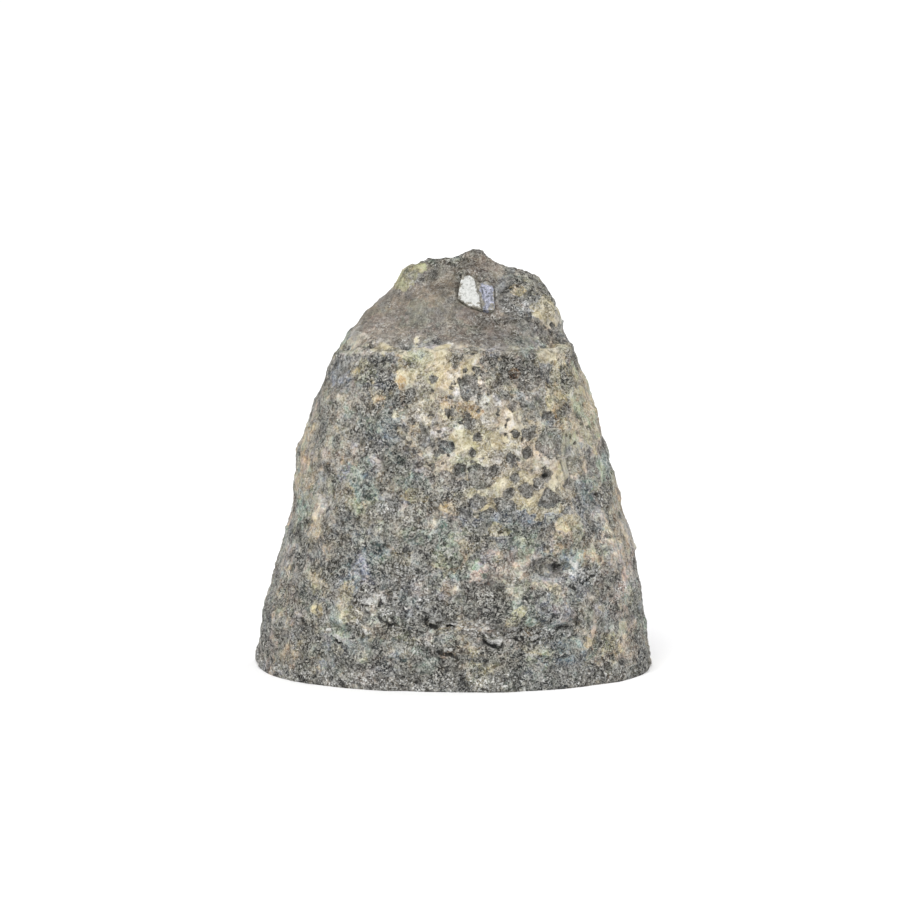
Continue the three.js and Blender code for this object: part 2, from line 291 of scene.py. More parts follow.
def settled(obj: Object) -> Object:
    """Replaces an object's mesh by the result of its modifiers, and removes them.

    Args:
        obj: The object.

    Returns:
        The same object.
    """
    graph = bpy.context.evaluated_depsgraph_get()
    result = bpy.data.meshes.new_from_object(obj.evaluated_get(graph))
    result.name = obj.name
    obj.modifiers.clear()
    obj.data = result
    return obj


def merged_copy(node: str, name: str) -> Object:
    """Copies a CAD node, whose triangles are loose, and joins them.

    Args:
        node: The node's name.
        name: The new object's name.

    Returns:
        The new object.
    """
    shape = bmesh.new()
    shape.from_mesh(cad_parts[node].data)
    bmesh.ops.remove_doubles(shape, verts=shape.verts, dist=0.001 * MM)
    return plain_object(name, shape)


def remeshed(obj: Object, voxel: float) -> Object:
    """Covers an object with an even net of four-sided faces.

    Args:
        obj: The object, whose mesh is closed.
        voxel: The net's spacing in millimetres.

    Returns:
        The same object with its new mesh.
    """
    remesh = obj.modifiers.new("net", "REMESH")
    remesh.mode = "VOXEL"
    remesh.voxel_size = voxel * MM
    return settled(obj)


def distances(points: Array, node: str, reach: float = 1e6) -> Array:
    """Measures how far points lie from a CAD node's surface.

    Args:
        points: Places in millimetres.
        node: The node's name.
        reach: The most that is measured, in millimetres.

    Returns:
        One distance for each point.
    """
    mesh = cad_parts[node].data
    corners = [corner.co for corner in mesh.vertices]
    tree = BVHTree.FromPolygons(corners, [face.vertices for face in mesh.polygons])
    found = (tree.find_nearest(Vector(point * MM), reach * MM)[3] for point in points)
    return np.array([reach if off is None else off / MM for off in found])


def joined(pieces: list[Object], name: str) -> Object:
    """Joins plain objects that share one material into one.

    Args:
        pieces: The objects, which are removed.
        name: The new object's name.

    Returns:
        The new object.
    """
    shape = bmesh.new()
    material = pieces[0].data.materials[0]
    for piece in pieces:
        shape.from_mesh(piece.data)
        bpy.data.objects.remove(piece)
    whole = plain_object(name, shape)
    whole.data.materials.append(material)
    return whole


# The rough side's zones


@dataclass(frozen=True)
class Patch:
    """An oval area of the rough side, seen from the front, with a soft and frayed edge."""

    x: float
    z: float
    wide: float
    tall: float
    strength: float = 1.0
    tilt: float = 0.0

    def weight(self, points: Array, fray: Union[Array, float] = 0.0) -> Array:
        """How much each point belongs to the patch.

        Args:
            points: Places in millimetres.
            fray: Noise around 0 that moves the edge.

        Returns:
            Values from 0 to the patch's strength.
        """
        turn = math.radians(self.tilt)
        across, up = points[:, 0] - self.x, points[:, 2] - self.z
        along = (across * math.cos(turn) + up * math.sin(turn)) / self.wide
        beside = (up * math.cos(turn) - across * math.sin(turn)) / self.tall
        return self.strength * ease(np.hypot(along, beside) + 0.5 * fray, 1.5, 0.55)


@dataclass(frozen=True)
class Spread:
    """How a zone lies on the sides and the back, where nothing is placed one by one."""

    length: float
    start: float
    strength: float


class Zone(Enum):
    """The differing colourings and textures of the outside."""

    SLATE = "slate"
    BROWN = "brown"
    PINK = "pink"
    DARK = "dark"
    CREAM = "cream"
    YELLOW = "yellow"
    OCHRE = "ochre"
    TEAL = "teal"
    MOSS = "moss"
    STREAKS = "streaks"
    COMBED = "combed"
    KNOBS = "knobs"
    CHIPS = "chips"
    # Wear and painted highlight along the lip and on the ledges.
    WEAR_AND_HIGHLIGHT = "wear_and_highlight"
    PALE = "pale"


def patches(*places: tuple[float, ...]) -> tuple[Patch, ...]:
    """Makes patches from rows of place across and up, width, height, strength and tilt."""
    return tuple(Patch(*place) for place in places)


PATCHES: dict[Zone, tuple[Patch, ...]] = {
    Zone.SLATE: patches(
        (-31, 151, 11, 8, 0.95), (46, 113, 9, 11, 0.7), (10, 101, 16, 8, 0.7), (28, 84, 24, 6, 0.8),
        (60, 64, 12, 14, 0.7), (-44, 56, 16, 18, 0.6), (-26, 108, 14, 26, 0.75), (50, 36, 14, 7, 0.6),
        (54, 16, 13, 8, 0.8), (35, 173, 12, 12, 0.6), (-58, 92, 12, 22, 0.5), (-26, 192, 10, 5, 0.6),
        (-60, 150, 8, 14, 0.5, 30),
    ),
    Zone.BROWN: patches(
        (-10, 184, 44, 20), (-34, 174, 26, 14), (14, 168, 34, 8, 0.9), (12, 200, 14, 8, 0.8),
    ),
    Zone.PINK: patches(
        (30, 56, 26, 12, 0.9), (8, 62, 14, 8, 0.9), (64, 70, 16, 14, 0.8), (84, 66, 6, 34, 0.9),
        (81, 15, 15, 14), (-34, 30, 14, 6, 0.7), (-8, 48, 18, 8, 0.75), (-74, 104, 6, 36, 0.8, 10),
        (-78, 10, 6, 5, 0.8), (6, 20, 12, 5, 0.6),
    ),
    Zone.DARK: patches(
        (0, 3, 110, 9, 0.95), (-8, 11, 30, 7, 0.85), (-35, 39, 9, 6, 0.9), (-15, 40, 13, 6, 0.8),
        # The thin patches at (20, 154.8) and (33, 151) under the lip are partly dark pitted stone and partly
        # painted shade under its overhang; the one at (49, 58) is painted shade in the pit there.
        (49, 58, 4, 2.6, 1.0, -10), (21, 47, 8, 7, 0.7), (11, 51, 6, 3, 0.8), (20, 154.8, 19, 4.2, 1.0),
        (33, 151, 10, 5, 0.9), (-32, 153, 7, 4, 0.6), (31, 187, 11, 8, 0.95), (40, 172, 8, 7, 0.9),
        (46, 166, 4, 5, 0.8), (36, 194, 9, 7, 0.85), (53, 27, 6, 3), (-4, 19, 4, 3, 0.8),
        (-75, 46, 4, 10, 0.7), (-24, 106, 14, 22, 0.55), (-85, 20, 5, 8, 0.7), (-72, 12, 16, 9, 0.55),
    ),
    Zone.CREAM: patches(
        (-4, 140, 19, 20), (20, 124, 25, 19), (38, 112, 20, 18), (9, 112, 22, 12), (-15, 125, 9, 14, 0.85),
        (36, 96, 20, 7, 0.95), (20, 95, 16, 8, 0.9), (-11, 150, 12, 8, 0.9), (62, 128, 9, 22, 0.8, -15),
        (47, 176, 6, 6, 0.9), (47, 158.5, 6, 4), (-47, 36, 12, 9, 0.52), (6, 32, 10, 3, 0.6),
    ),
    Zone.YELLOW: patches(
        (-11, 154, 14, 8), (-35, 160, 5, 2.6), (-26, 159.5, 5, 3), (48, 158, 9, 5), (10, 118, 13, 8, 0.85),
        (52, 145, 7, 13, 0.95, -12), (44, 92, 14, 9), (32, 98, 18, 6, 0.95), (28, 90, 12, 5, 0.9),
        (8, 90, 10, 7, 0.95), (-17, 93, 6, 3.5), (-36, 138, 4, 4), (22, 77, 5, 4), (49, 47, 3, 2.5),
        (31, 37, 6, 2.5, 1.0, 45), (56, 79, 7, 4, 0.9), (-47, 35, 9, 6, 0.58), (-65, 37, 3, 4, 0.8),
        (-50, 47, 4, 6, 0.6), (-55, 18, 3, 3, 0.8), (32, 189, 4, 3), (45, 180, 6, 6), (76, 20, 6, 8, 0.6),
    ),
    Zone.OCHRE: patches(
        (8, 133, 5, 5), (-24, 141, 2, 6, 0.8), (-35, 137, 3, 3, 0.6), (29, 150, 3, 3, 0.9),
        (-3, 137, 4, 4, 0.6), (50, 124, 3, 8, 0.7), (-3, 18, 3, 2, 0.8), (10, 52, 6, 3, 0.4),
        (36, 28, 3, 2, 0.9),
    ),
    Zone.TEAL: patches(
        (-3, 69, 7, 9, 0.95), (-16, 74, 10, 5, 0.6), (-38, 66, 10, 8, 0.6), (-73, 84, 4, 10, 0.7),
        (76, 104, 5, 9, 0.8), (50, 15, 9, 5, 0.5), (-49, 29, 5, 3, 0.9), (-16, 20, 5, 3, 0.9),
        (-12, 12, 7, 5, 0.7), (-24, 104, 6, 7, 0.5), (-3, 116, 5, 4, 0.5), (70, 60, 6, 8, 0.4),
    ),
    Zone.MOSS: patches(
        (66, 128, 10, 26, 0.95, -16), (-28, 197, 12, 8), (58, 150, 6, 8, 0.9), (-42, 151, 6, 5, 0.7),
    ),
    Zone.STREAKS: patches(
        (-72, 106, 10, 50, 1.0, 10), (-84, 50, 9, 36, 0.9, 8), (67, 126, 12, 36, 1.0, -14),
        (84, 70, 7, 42, 0.9), (-56, 110, 8, 40, 0.5, 10),
    ),
    Zone.COMBED: patches(
        (-24, 169, 32, 6), (10, 165, 34, 4, 0.9), (-62, 146, 8, 16, 0.6, 60),
    ),
    Zone.KNOBS: patches(
        (-44, 100, 32, 52), (-30, 60, 40, 30, 0.9), (-36, 154, 16, 7), (28, 152, 22, 5, 0.9),
        (40, 186, 12, 12, 0.8), (0, 10, 90, 12, 0.6), (86, 60, 7, 26), (-86, 56, 9, 40, 0.9),
    ),
    Zone.PALE: patches(
        (-46, 139, 16, 18, 0.6), (44, 62, 30, 13, 0.3), (46, 44, 26, 9, 0.7), (58, 12, 26, 9),
        (76, 88, 9, 16, 0.8), (-48, 164, 13, 6), (20, 163, 28, 4, 0.5),
    ),
    # Wear and painted highlight near the lip and along the ledge tops.
    Zone.WEAR_AND_HIGHLIGHT: patches(
        (36, 182, 3, 2, 0.9), (-47, 163, 12, 5, 0.8), (0, 31, 12, 1.6, 0.9), (36, 29, 16, 1.4, 0.8),
    ),
    Zone.CHIPS: patches(
        (1, 32, 9, 2.5), (12, 30, 12, 2.5, 1.0, -12), (32, 28, 11, 2.5), (46, 27.5, 9, 2.5),
        (-15, 20, 6, 4), (-14, 40, 12, 6, 0.9), (-35, 39, 8, 6, 0.9), (61, 53, 6, 4, 0.9), (69, 53, 3, 4),
        (82, 45, 3, 5), (0, 3, 100, 6, 0.75), (-30, 86, 6, 3, 0.9), (34, 182, 8, 4, 0.8),
        (-22, 54, 14, 6, 0.6, -30),
    ),
}

SPREADS: dict[Zone, Spread] = {
    Zone.SLATE: Spread(31, 0.0, 0.7),
    Zone.BROWN: Spread(37, 0.15, 0.8),
    Zone.PINK: Spread(29, 0.2, 0.8),
    Zone.DARK: Spread(17, 0.3, 0.8),
    Zone.CREAM: Spread(23, 0.4, 0.85),
    Zone.YELLOW: Spread(15, 0.35, 0.8),
    Zone.OCHRE: Spread(11, 0.5, 0.8),
    Zone.TEAL: Spread(14, 0.45, 0.8),
    Zone.MOSS: Spread(26, 0.35, 0.8),
    Zone.STREAKS: Spread(41, -0.1, 0.9),
    Zone.COMBED: Spread(33, 0.6, 0.5),
    Zone.KNOBS: Spread(27, -0.1, 0.8),
    Zone.CHIPS: Spread(12, 0.45, 0.8),
    Zone.WEAR_AND_HIGHLIGHT: Spread(9, 0.6, 0.7),
    Zone.PALE: Spread(33, 0.2, 0.5),
}

PANES = (
    (46.3, 90.7, 4.2), (45.3, 101.8, 2.4), (35.1, 95.3, 3.0), (27.9, 110.6, 2.4), (38.2, 145.6, 3.1),
    (47.5, 116.5, 6.6), (36.5, 122.5, 3.0), (36.0, 113.0, 2.6), (13.1, 102.3, 5.4), (-4.0, 100.8, 4.6),
    (3.0, 105.5, 3.0), (20.0, 106.0, 2.2), (8.0, 144.0, 5.0), (-3.4, 116.0, 3.6), (-13.0, 120.0, 3.2),
    (12.0, 121.0, 2.0), (9.5, 113.5, 1.5), (37.0, 133.0, 2.4), (45.0, 130.0, 2.2), (28.5, 135.0, 2.0),
    (8.6, 127.5, 2.6), (-2.0, 132.5, 2.0), (29.0, 145.5, 2.6), (-9.0, 148.0, 1.8), (12.0, 90.0, 3.6),
    (27.0, 94.5, 2.4), (30.0, 102.0, 2.0), (41.0, 98.0, 2.8), (57.0, 97.5, 3.4), (60.0, 105.0, 4.4),
    (7.0, 84.5, 3.2), (25.0, 87.5, 5.0), (17.0, 84.0, 3.6),
)


@dataclass(frozen=True)
class Stroke:
    """A broken line across the rough side, as stations across and up, with how wide and deep it cuts."""

    stations: tuple[tuple[float, float], ...]
    wide: float
    deep: float

    def offsets(self, points: Array) -> tuple[Array, Array]:
        """Measures from the line.

        Args:
            points: Places in millimetres.

        Returns:
            The height above the line, and how far each point lies beyond its ends.
        """
        across, up = np.array(self.stations, float).T
        beyond = np.maximum(across[0] - points[:, 0], points[:, 0] - across[-1])
        return points[:, 2] - np.interp(points[:, 0], across, up), np.maximum(beyond, 0)


LIP_STATIONS = (
    (-52, 157.5), (-42, 159), (-24, 159), (-11, 158.6), (4, 160), (20, 159.4), (30, 158), (39, 158),
    (46, 159.5), (56, 161),
)
LIP = Stroke(LIP_STATIONS, 9.0, 2.6)

LEDGE_STATIONS = (
    (-10, 34), (2, 32), (8, 31), (16, 28.5), (24, 27), (32, 28.5), (42, 27.5), (50, 28.5), (58, 27),
)
STROKES = (
    Stroke(LEDGE_STATIONS, 1.5, 2.6),
    Stroke(((-58, 25.5), (-50, 25), (-42, 23.5)), 1.4, 2.4),
    Stroke(((-26, 43), (-16, 38), (-8, 35)), 1.2, 2.0),
    Stroke(((-42, 42), (-34, 38), (-30, 34)), 1.0, 1.6),
    Stroke(((57, 55), (62, 52.5), (66, 53)), 1.0, 1.4),
    Stroke(((-10, 21), (-3, 18.5), (2, 19)), 1.1, 1.8),
)


# Finishes


class NodeTree:
    """A tree of nodes, with short calls that add and join them."""

    def __init__(self, tree: bpy.types.NodeTree) -> None:
        """Takes up a tree."""
        self.tree = tree

    def join(self, source: Source, target: Socket) -> None:
        """Feeds an input.

        Args:
            source: A socket to link, a colour as hex digits or another value to set.
            target: The input.
        """
        if isinstance(source, Socket):
            self.tree.links.new(source, target)
        elif isinstance(source, str) and target.type == "RGBA":
            target.default_value = paint(source)
        else:
            target.default_value = source

    def add(self, kind: str, inputs: Optional[dict] = None, **settings: object) -> Node:
        """Adds a node.

        Args:
            kind: The node's type.
            inputs: What feeds each input, by number or name.
            settings: The node's own choices.

        Returns:
            The node.
        """
        node = self.tree.nodes.new(kind)
        for name, value in settings.items():
            setattr(node, name, value)
        for name, source in (inputs or {}).items():
            fitting = (item for place, item in enumerate(node.inputs) if name in (place, item.name))
            self.join(source, next(item for item in fitting if item.enabled))
        return node

    def made(self, kind: str, inputs: Optional[dict] = None, **settings: object) -> Socket:
        """Adds a node as add does, and returns its first output in use."""
        return next(output for output in self.add(kind, inputs, **settings).outputs if output.enabled)

    def math(self, operation: str, *given: Source) -> Socket:
        """Works out one number from others."""
        return self.made("ShaderNodeMath", dict(enumerate(given)), operation=operation)


class NodeSheet(NodeTree):
    """A material's shader nodes, with calls that lay paints on one colour."""

    def __init__(self, name: str) -> None:
        """Starts a material with one main shader.

        Args:
            name: The material's name.
        """
        self.material = bpy.data.materials.new(name)
        self.material.use_nodes = True
        super().__init__(self.material.node_tree)
        self.shader = next(node for node in self.tree.nodes if node.type == "BSDF_PRINCIPLED")
        self.place = self.node("TexCoord", "Object", {})
        self.colour: Source = "808080"

    def node(self, kind: str, output: Union[int, str], inputs: dict, **settings: object) -> Socket:
        """Adds a shader node, named without its prefix, and returns one of its outputs."""
        return self.add("ShaderNode" + kind, inputs, **settings).outputs[output]

    def finished(self, inputs: dict[str, Source]) -> bpy.types.Material:
        """Feeds the main shader's inputs and its colour.

        Args:
            inputs: What feeds each input.

        Returns:
            The material.
        """
        for name, source in {"Base Color": self.colour, **inputs}.items():
            self.join(source, self.shader.inputs[name])
        return self.material

    def attribute(self, name: str) -> Socket:
        """Reads a number that the mesh keeps at its points."""
        return self.node("Attribute", "Fac", {}, attribute_name=name)

    def axis(self, name: str) -> Socket:
        """One of the piece's own coordinates, X, Y or Z, in metres."""
        return self.node("SeparateXYZ", name, {0: self.place})

    def along(self, scale: tuple[float, float, float], across: Optional[Socket] = None) -> Socket:
        """The piece's own coordinates, scaled along each axis.

        Args:
            scale: The factors.
            across: A socket that stands in for the first coordinate.

        Returns:
            The vector socket.
        """
        place = self.place
        if across is not None:
            place = self.node("CombineXYZ", 0, {"X": across, "Y": self.axis("Y"), "Z": self.axis("Z")})
        return self.node("Mapping", "Vector", {"Vector": place, "Scale": scale})

    def _clouds(self, size: float, detail: float, rough: float, curl: float, place: Socket) -> dict:
        """The inputs of cloudy noise, from what noise is given."""
        given = {"Scale": 1 / (size * MM), "Detail": detail, "Roughness": rough, "Distortion": curl}
        return {**given, "Vector": place or self.place}

    def noise(
        self,
        size: float,
        detail: float = 2,
        rough: float = 0.55,
        curl: float = 0,
        place: Optional[Socket] = None,
    ) -> Socket:
        """Cloudy noise around 0.5: cloud width in millimetres, finer layers, their strength, and winding."""
        return self.node("TexNoise", "Fac", self._clouds(size, detail, rough, curl, place))

    def creases(self, size: float, detail: float, rough: float, curl: float) -> Socket:
        """Noise with sharp winding crests, from about 0.3 to 1.5."""
        inputs = {**self._clouds(size, detail, rough, curl, self.place), "Offset": 1.0, "Gain": 1.0}
        return self.node("TexNoise", "Fac", inputs, noise_type="RIDGED_MULTIFRACTAL")

    def warped(self, size: float, far: float) -> Socket:
        """The piece's own coordinates, pushed about by clouds.

        Args:
            size: The width of one cloud in millimetres.
            far: How far they push, in millimetres.

        Returns:
            The vector socket.
        """
        push = self.node("TexNoise", "Color", self._clouds(size, 3, 0.6, 0, self.place))
        inputs = {0: push, 1: (far * MM,) * 3, 2: self.place}
        return self.node("VectorMath", 0, inputs, operation="MULTIPLY_ADD")

    def _grains(self, size: float, output: str, place: Optional[Socket] = None) -> Socket:
        """One output of irregular grains of a width in millimetres."""
        return self.node("TexVoronoi", output, {"Scale": 1 / (size * MM), "Vector": place or self.place})

    def off_grain(self, size: float) -> Socket:
        """How far each place lies from its grain's middle, in widths."""
        return self._grains(size, "Distance")

    def chance(self, size: float, place: Optional[Socket] = None) -> Socket:
        """Each grain's own random number."""
        return self.node("SeparateColor", "Red", {"Color": self._grains(size, "Color", place)})

    def step(self, value: Source, start: float, end: float, low: float = 0.0, high: float = 1.0) -> Socket:
        """Maps a value smoothly from start and end to low and high."""
        inputs = {"Value": value, "From Min": start, "From Max": end, "To Min": low, "To Max": high}
        return self.node("MapRange", "Result", inputs, interpolation_type="SMOOTHSTEP")

    def ramp(self, value: Socket, *stops: tuple[float, str]) -> Socket:
        """Colours a value.

        Args:
            value: A socket with values from 0 to 1.
            stops: Places from 0 to 1, each with its colour as hex digits.

        Returns:
            The colour socket.
        """
        colour = self.node("ValToRGB", "Color", {"Fac": value})
        elements = colour.node.color_ramp.elements
        for number, (place, code) in enumerate(stops):
            element = elements[number] if number < 2 else elements.new(place)
            element.position, element.color = place, paint(code)
        return colour

    def mix(self, share: Source, first: Source, second: Source, blend: str = "MIX") -> Socket:
        """Mixes two colours."""
        inputs = {"Factor": share, 6: first, 7: second}
        return self.node("Mix", 2, inputs, data_type="RGBA", blend_type=blend)

    def lay(
        self,
        top: Source,
        value: Socket,
        start: float,
        end: float,
        most: float = 1.0,
        within: Optional[Source] = None,
    ) -> None:
        """Lays a colour over the colour so far.

        Args:
            top: The colour that is laid.
            value: What decides where it lies.
            start: The value where it begins.
            end: The value where it is full.
            most: How much it covers there.
            within: A share that limits it.
        """
        share = self.step(value, start, end, 0, most)
        if within is not None:
            share = self.math("MULTIPLY", within, share)
        self.colour = self.mix(share, self.colour, top)

    def bump(self, height: Socket, distance: float, under: Optional[Socket] = None) -> Socket:
        """Turns a height into a bumped normal.

        Args:
            height: The height socket.
            distance: The depth in millimetres of a height of 1.
            under: A normal to add to.

        Returns:
            The normal socket.
        """
        inputs = {"Distance": distance * MM, "Height": height}
        if under is not None:
            inputs["Normal"] = under
        return self.node("Bump", "Normal", inputs)


@dataclass(frozen=True)
class Coat:
    """One colouring of the stone: its zone, its three tones and how wide its edge frays in millimetres."""

    zone: Zone
    tones: tuple[str, str, str]
    fray: float
    most: float = 1.0
    soft: float = 0.16


class StoneSheet(NodeSheet):
    """The nodes of weathered stone: its tone, how broken it is, and the paints that follow its zones."""

    TONE_STOPS = (0.33, 0.5, 0.67)
    BUBBLE = 3.9
    TINTS = (
        (0.0, "70716f"), (0.12, "8396b1"), (0.26, "aeb2d0"), (0.38, "8ebfb1"), (0.5, "b6b4ad"),
        (0.62, "c3b095"), (0.74, "d0ca9b"), (0.86, "cfb2b1"), (1.0, "eae9e6"),
    )

    def __init__(self, name: str) -> None:
        """Works out the tone, how broken the surface is, and where its bubbles are.

        Args:
            name: The material's name.
        """
        super().__init__(name)
        self.busy = self._broken(0.22)
        spread = self.math("MULTIPLY_ADD", self.busy, 0.6, 0.25)
        fine = self.math("SUBTRACT", self.noise(1.5, 3, 0.65, 0.6), 0.5)
        broad = self.math("MULTIPLY_ADD", self.noise(8.5, 4, 0.6, 0.5), 1.6, -0.3)
        broad = self.math("MULTIPLY_ADD", self.attribute("pale"), 0.12, broad)
        self.tone = self.math("MULTIPLY_ADD", fine, spread, broad)
        rare = self.step(self.chance(self.BUBBLE), 0.62, 0.7)
        self.bubbly = self.math("MULTIPLY", rare, self.attribute("knobs"))

    def _broken(self, least: float) -> Socket:
        """How broken the surface is: in clumps, and less on the scoop, the skin and the streaks.

        Args:
            least: The share between the clumps.

        Returns:
            A share from 0 to 1.
        """
        busy = self.step(self.noise(11, 5, 0.7, 0.6), 0.44, 0.64, least, 1.0)
        for zone, share in (("brown", -0.76), ("cream", -0.5), ("pink", -0.2), ("streaks", -0.4)):
            calm = self.math("MULTIPLY_ADD", self.attribute(zone), share, 1.0)
            busy = self.math("MULTIPLY", busy, calm)
        return self.math("MAXIMUM", busy, self.step(self.attribute("window"), -0.2, 0.6, 0, 0.4))

    def toned(self, tone: Socket, tones: tuple[str, str, str]) -> Socket:
        """Colours a tone from dark to light."""
        return self.ramp(tone, *zip(self.TONE_STOPS, tones))

    def coat(self, coat: Coat) -> None:
        """Lays one coat where its zone is."""
        frayed = self.math("ADD", self.attribute(coat.zone.value), self.noise(coat.fray, 4, 0.65))
        self.lay(self.toned(self.tone, coat.tones), frayed, 1 - coat.soft, 1 + coat.soft, coat.most)

    def windows(self, tones: tuple[str, str, str]) -> None:
        """Opens windows in the skin, with a light halo and a dark rim of painted shade where each window
        drops into its recess.

        Args:
            tones: The colours in the windows, from dark to light.
        """
        wobble = self.math("MULTIPLY_ADD", self.noise(1.1, 3, 0.6), 2.2, -1.1)
        inside = self.math("ADD", self.attribute("window"), wobble)
        self.lay("c4ba98", inside, -1.7, -0.9, 0.4, self.attribute("cream"))
        # Painted shade: a dark rim where the window drops into its recess.
        self.lay("2e2c25", inside, -0.55, -0.2)
        self.lay(self.toned(self.noise(2.2, 5, 0.75), tones), inside, 0.15, 0.5)

    def streaks(self) -> None:
        """Draws the streaks down the flanks under a pale wash, partly their own colour and partly painted
        light on the flanks, and the fine combing across the scoop.
        """
        share = self.attribute("streaks")
        runs = self.noise(2.3, 4, 0.7, 0.6, self.along((1.0, 0.6, 0.2), self.attribute("flow")))
        # Pale wash over the streaks: partly their tan colour, partly painted light along the flanks near the
        # outline.
        self.colour = self.mix(self.math("MULTIPLY", share, 0.45), self.colour, "b5ada1")
        self.lay("c2b7a8", runs, 0.52, 0.64, 0.85, share)
        self.lay("46413a", runs, 0.46, 0.35, 0.8, share)
        combed, grooves = self.attribute("combed"), self.noise(1.1, 4, 0.7, 0.7, self.along((0.2, 0.2, 1.0)))
        self.lay("a9a398", grooves, 0.52, 0.64, 0.5, combed)
        self.lay("504b44", grooves, 0.46, 0.36, 0.45, combed)

    def mottles(self) -> None:
        """Varies hue and lightness from millimetre to millimetre, most where the surface is broken, and
        paints light on the coarse creases' crests and shade in their troughs.
        """
        calm = 1.0
        for zone, share in (("brown", -0.6), ("cream", -0.45), ("yellow", -0.35)):
            calm = self.math("MULTIPLY_ADD", self.attribute(zone), share, calm)
        for size, share in ((13.0, 0.5), (6.0, 0.32), (2.2, 0.32)):
            tint = self.ramp(self.chance(size, self.warped(0.6 * size, 1.6 * size)), *self.TINTS)
            self.colour = self.mix(self.math("MULTIPLY", calm, share), self.colour, tint, "OVERLAY")
        # Painted light on the crests and painted shade in the troughs of the coarse creases, which the
        # coarse bump follows too.
        crests = self.step(self.creases(5.5, 4, 0.7, 1.2), 0.45, 1.3)
        tone = self.ramp(crests, (0, "000000"), (1, "ffffff"))
        self.colour = self.mix(self.math("MULTIPLY", self.busy, 0.3), self.colour, tone, "OVERLAY")

    def hairlines(self) -> None:
        """Draws coarse and fine curled lines as embossed edges: painted highlight along one side and painted
        shade along the other.
        """
        cream = self.attribute("cream")
        light, dark = self.mix(cream, "d6d4cb", "efebe2"), self.mix(cream, "161614", "564a39")
        for size, turns, share in ((4.6, 4, self.busy), (2.1, 2, self._broken(0.5))):
            winding = self.math("FRACT", self.math("MULTIPLY", self.noise(size, 2, 0.5, 1.5), turns))
            # Painted highlight on one side of each curled line and painted shade on the other, like a raised
            # edge lit from one side.
            self.lay(light, winding, 0.38, 0.12, 0.78, share)
            self.lay(dark, winding, 0.6, 0.84, 1.0, share)

    def flecks(self) -> None:
        """Adds knob rings, white grains that are painted glints, dark grains, chips with painted glints and
        shade, painted shade in hollows and painted highlight on rises.
        """
        ring = self.math("ABSOLUTE", self.math("SUBTRACT", self.off_grain(self.BUBBLE), 0.36))
        self.lay("b9b6ac", ring, 0.09, 0.03, 0.5, self.bubbly)
        grain = self.chance(0.75)
        crowd = self.math("MULTIPLY", self.busy, self.step(self.noise(7, 3, 0.6), 0.45, 0.62))
        # White grains are painted glints, crowded in clumps; the dark grains below are dark specks.
        self.lay("e6e6e2", grain, 0.8, 0.93, 0.9, crowd)
        self.lay("1f1e1c", grain, 0.18, 0.05, 0.8, self.busy)
        # On the chips, white grains and light flakes are painted glints on broken facets, and dark flakes
        # are partly dark stone and partly painted shade.
        chips, flake = self.attribute("chips"), self.noise(2.5, 4, 0.65, 2.8)
        self.lay("ecece9", grain, 0.84, 0.9, 0.9, chips)
        self.lay("cfcfcc", flake, 0.54, 0.6, 0.9, chips)
        self.lay("1d1d1b", flake, 0.46, 0.36, 0.9, chips)
        # Painted shade in the hollows of the relief and painted highlight on its raised parts.
        relief = self.attribute("relief")
        self.lay("242320", relief, -0.1, -1.1, 0.6)
        self.lay("bdb9ad", relief, 0.15, 0.9, 0.25)

    def crack_shade_and_highlight(self) -> None:
        """Paints shade in the undercuts and pits, and pale chips over the undercuts that are partly painted
        highlight, along a jagged line.
        """
        jag = self.math("MULTIPLY_ADD", self.noise(2.6, 4, 0.7, 1.2), 5.0, -2.5)
        marks = self.attribute("crack_shade_and_highlight")
        jagged, near = self.math("ADD", marks, jag), self.step(self.math("ABSOLUTE", marks), 0.1, 0.35)
        # Painted shade in the undercuts and pits; pale chips over the undercuts, partly painted highlight.
        self.lay("151513", jagged, 0.5, 0.75, 0.92, near)
        self.lay("d0cfcb", jagged, -0.5, -0.75, 0.85, near)

    def bands(self) -> None:
        """Lays bands of agate and a green skin round the hollow's mouth."""
        wander = self.math("MULTIPLY_ADD", self.noise(6, 3, 0.6), 3.0, -1.5)
        off = self.math("ADD", self.attribute("rim"), wander)
        band = self.math("FRACT", self.math("MULTIPLY", off, 0.9))
        lines = self.ramp(band, (0.0, "9d9c9a"), (0.5, "c9c8c6"), (1.0, "8d8e90"))
        agate = self.mix(self.step(self.noise(3, 3), 0.35, 0.65, 0.2, 0.8), lines, "b4b2ad")
        self.lay(self.ramp(self.noise(2, 3), (0.35, "343f38"), (0.65, "66756a")), off, 6.4, 5.0, 0.85)
        self.lay(agate, off, 3.8, 3.2)

    def surface(self) -> dict[str, Source]:
        """Makes dull stone with glinting grains, and a fine bump.

        Returns:
            What feeds the main shader.
        """
        domes = self.math("MULTIPLY", self.step(self.off_grain(self.BUBBLE), 0.42, 0.1), self.bubbly)
        normal = self.bump(domes, 0.8)
        coarse, fine = self.creases(5.5, 4, 0.7, 1.2), self.creases(1.7, 3, 0.75, 0.8)
        for crests, distance in ((coarse, 1.1), (fine, 0.6)):
            normal = self.bump(self.math("MULTIPLY", crests, self.busy), distance, normal)
        return {"Roughness": self.step(self.chance(1.1), 0.7, 0.95, 0.78, 0.3), "Normal": normal}


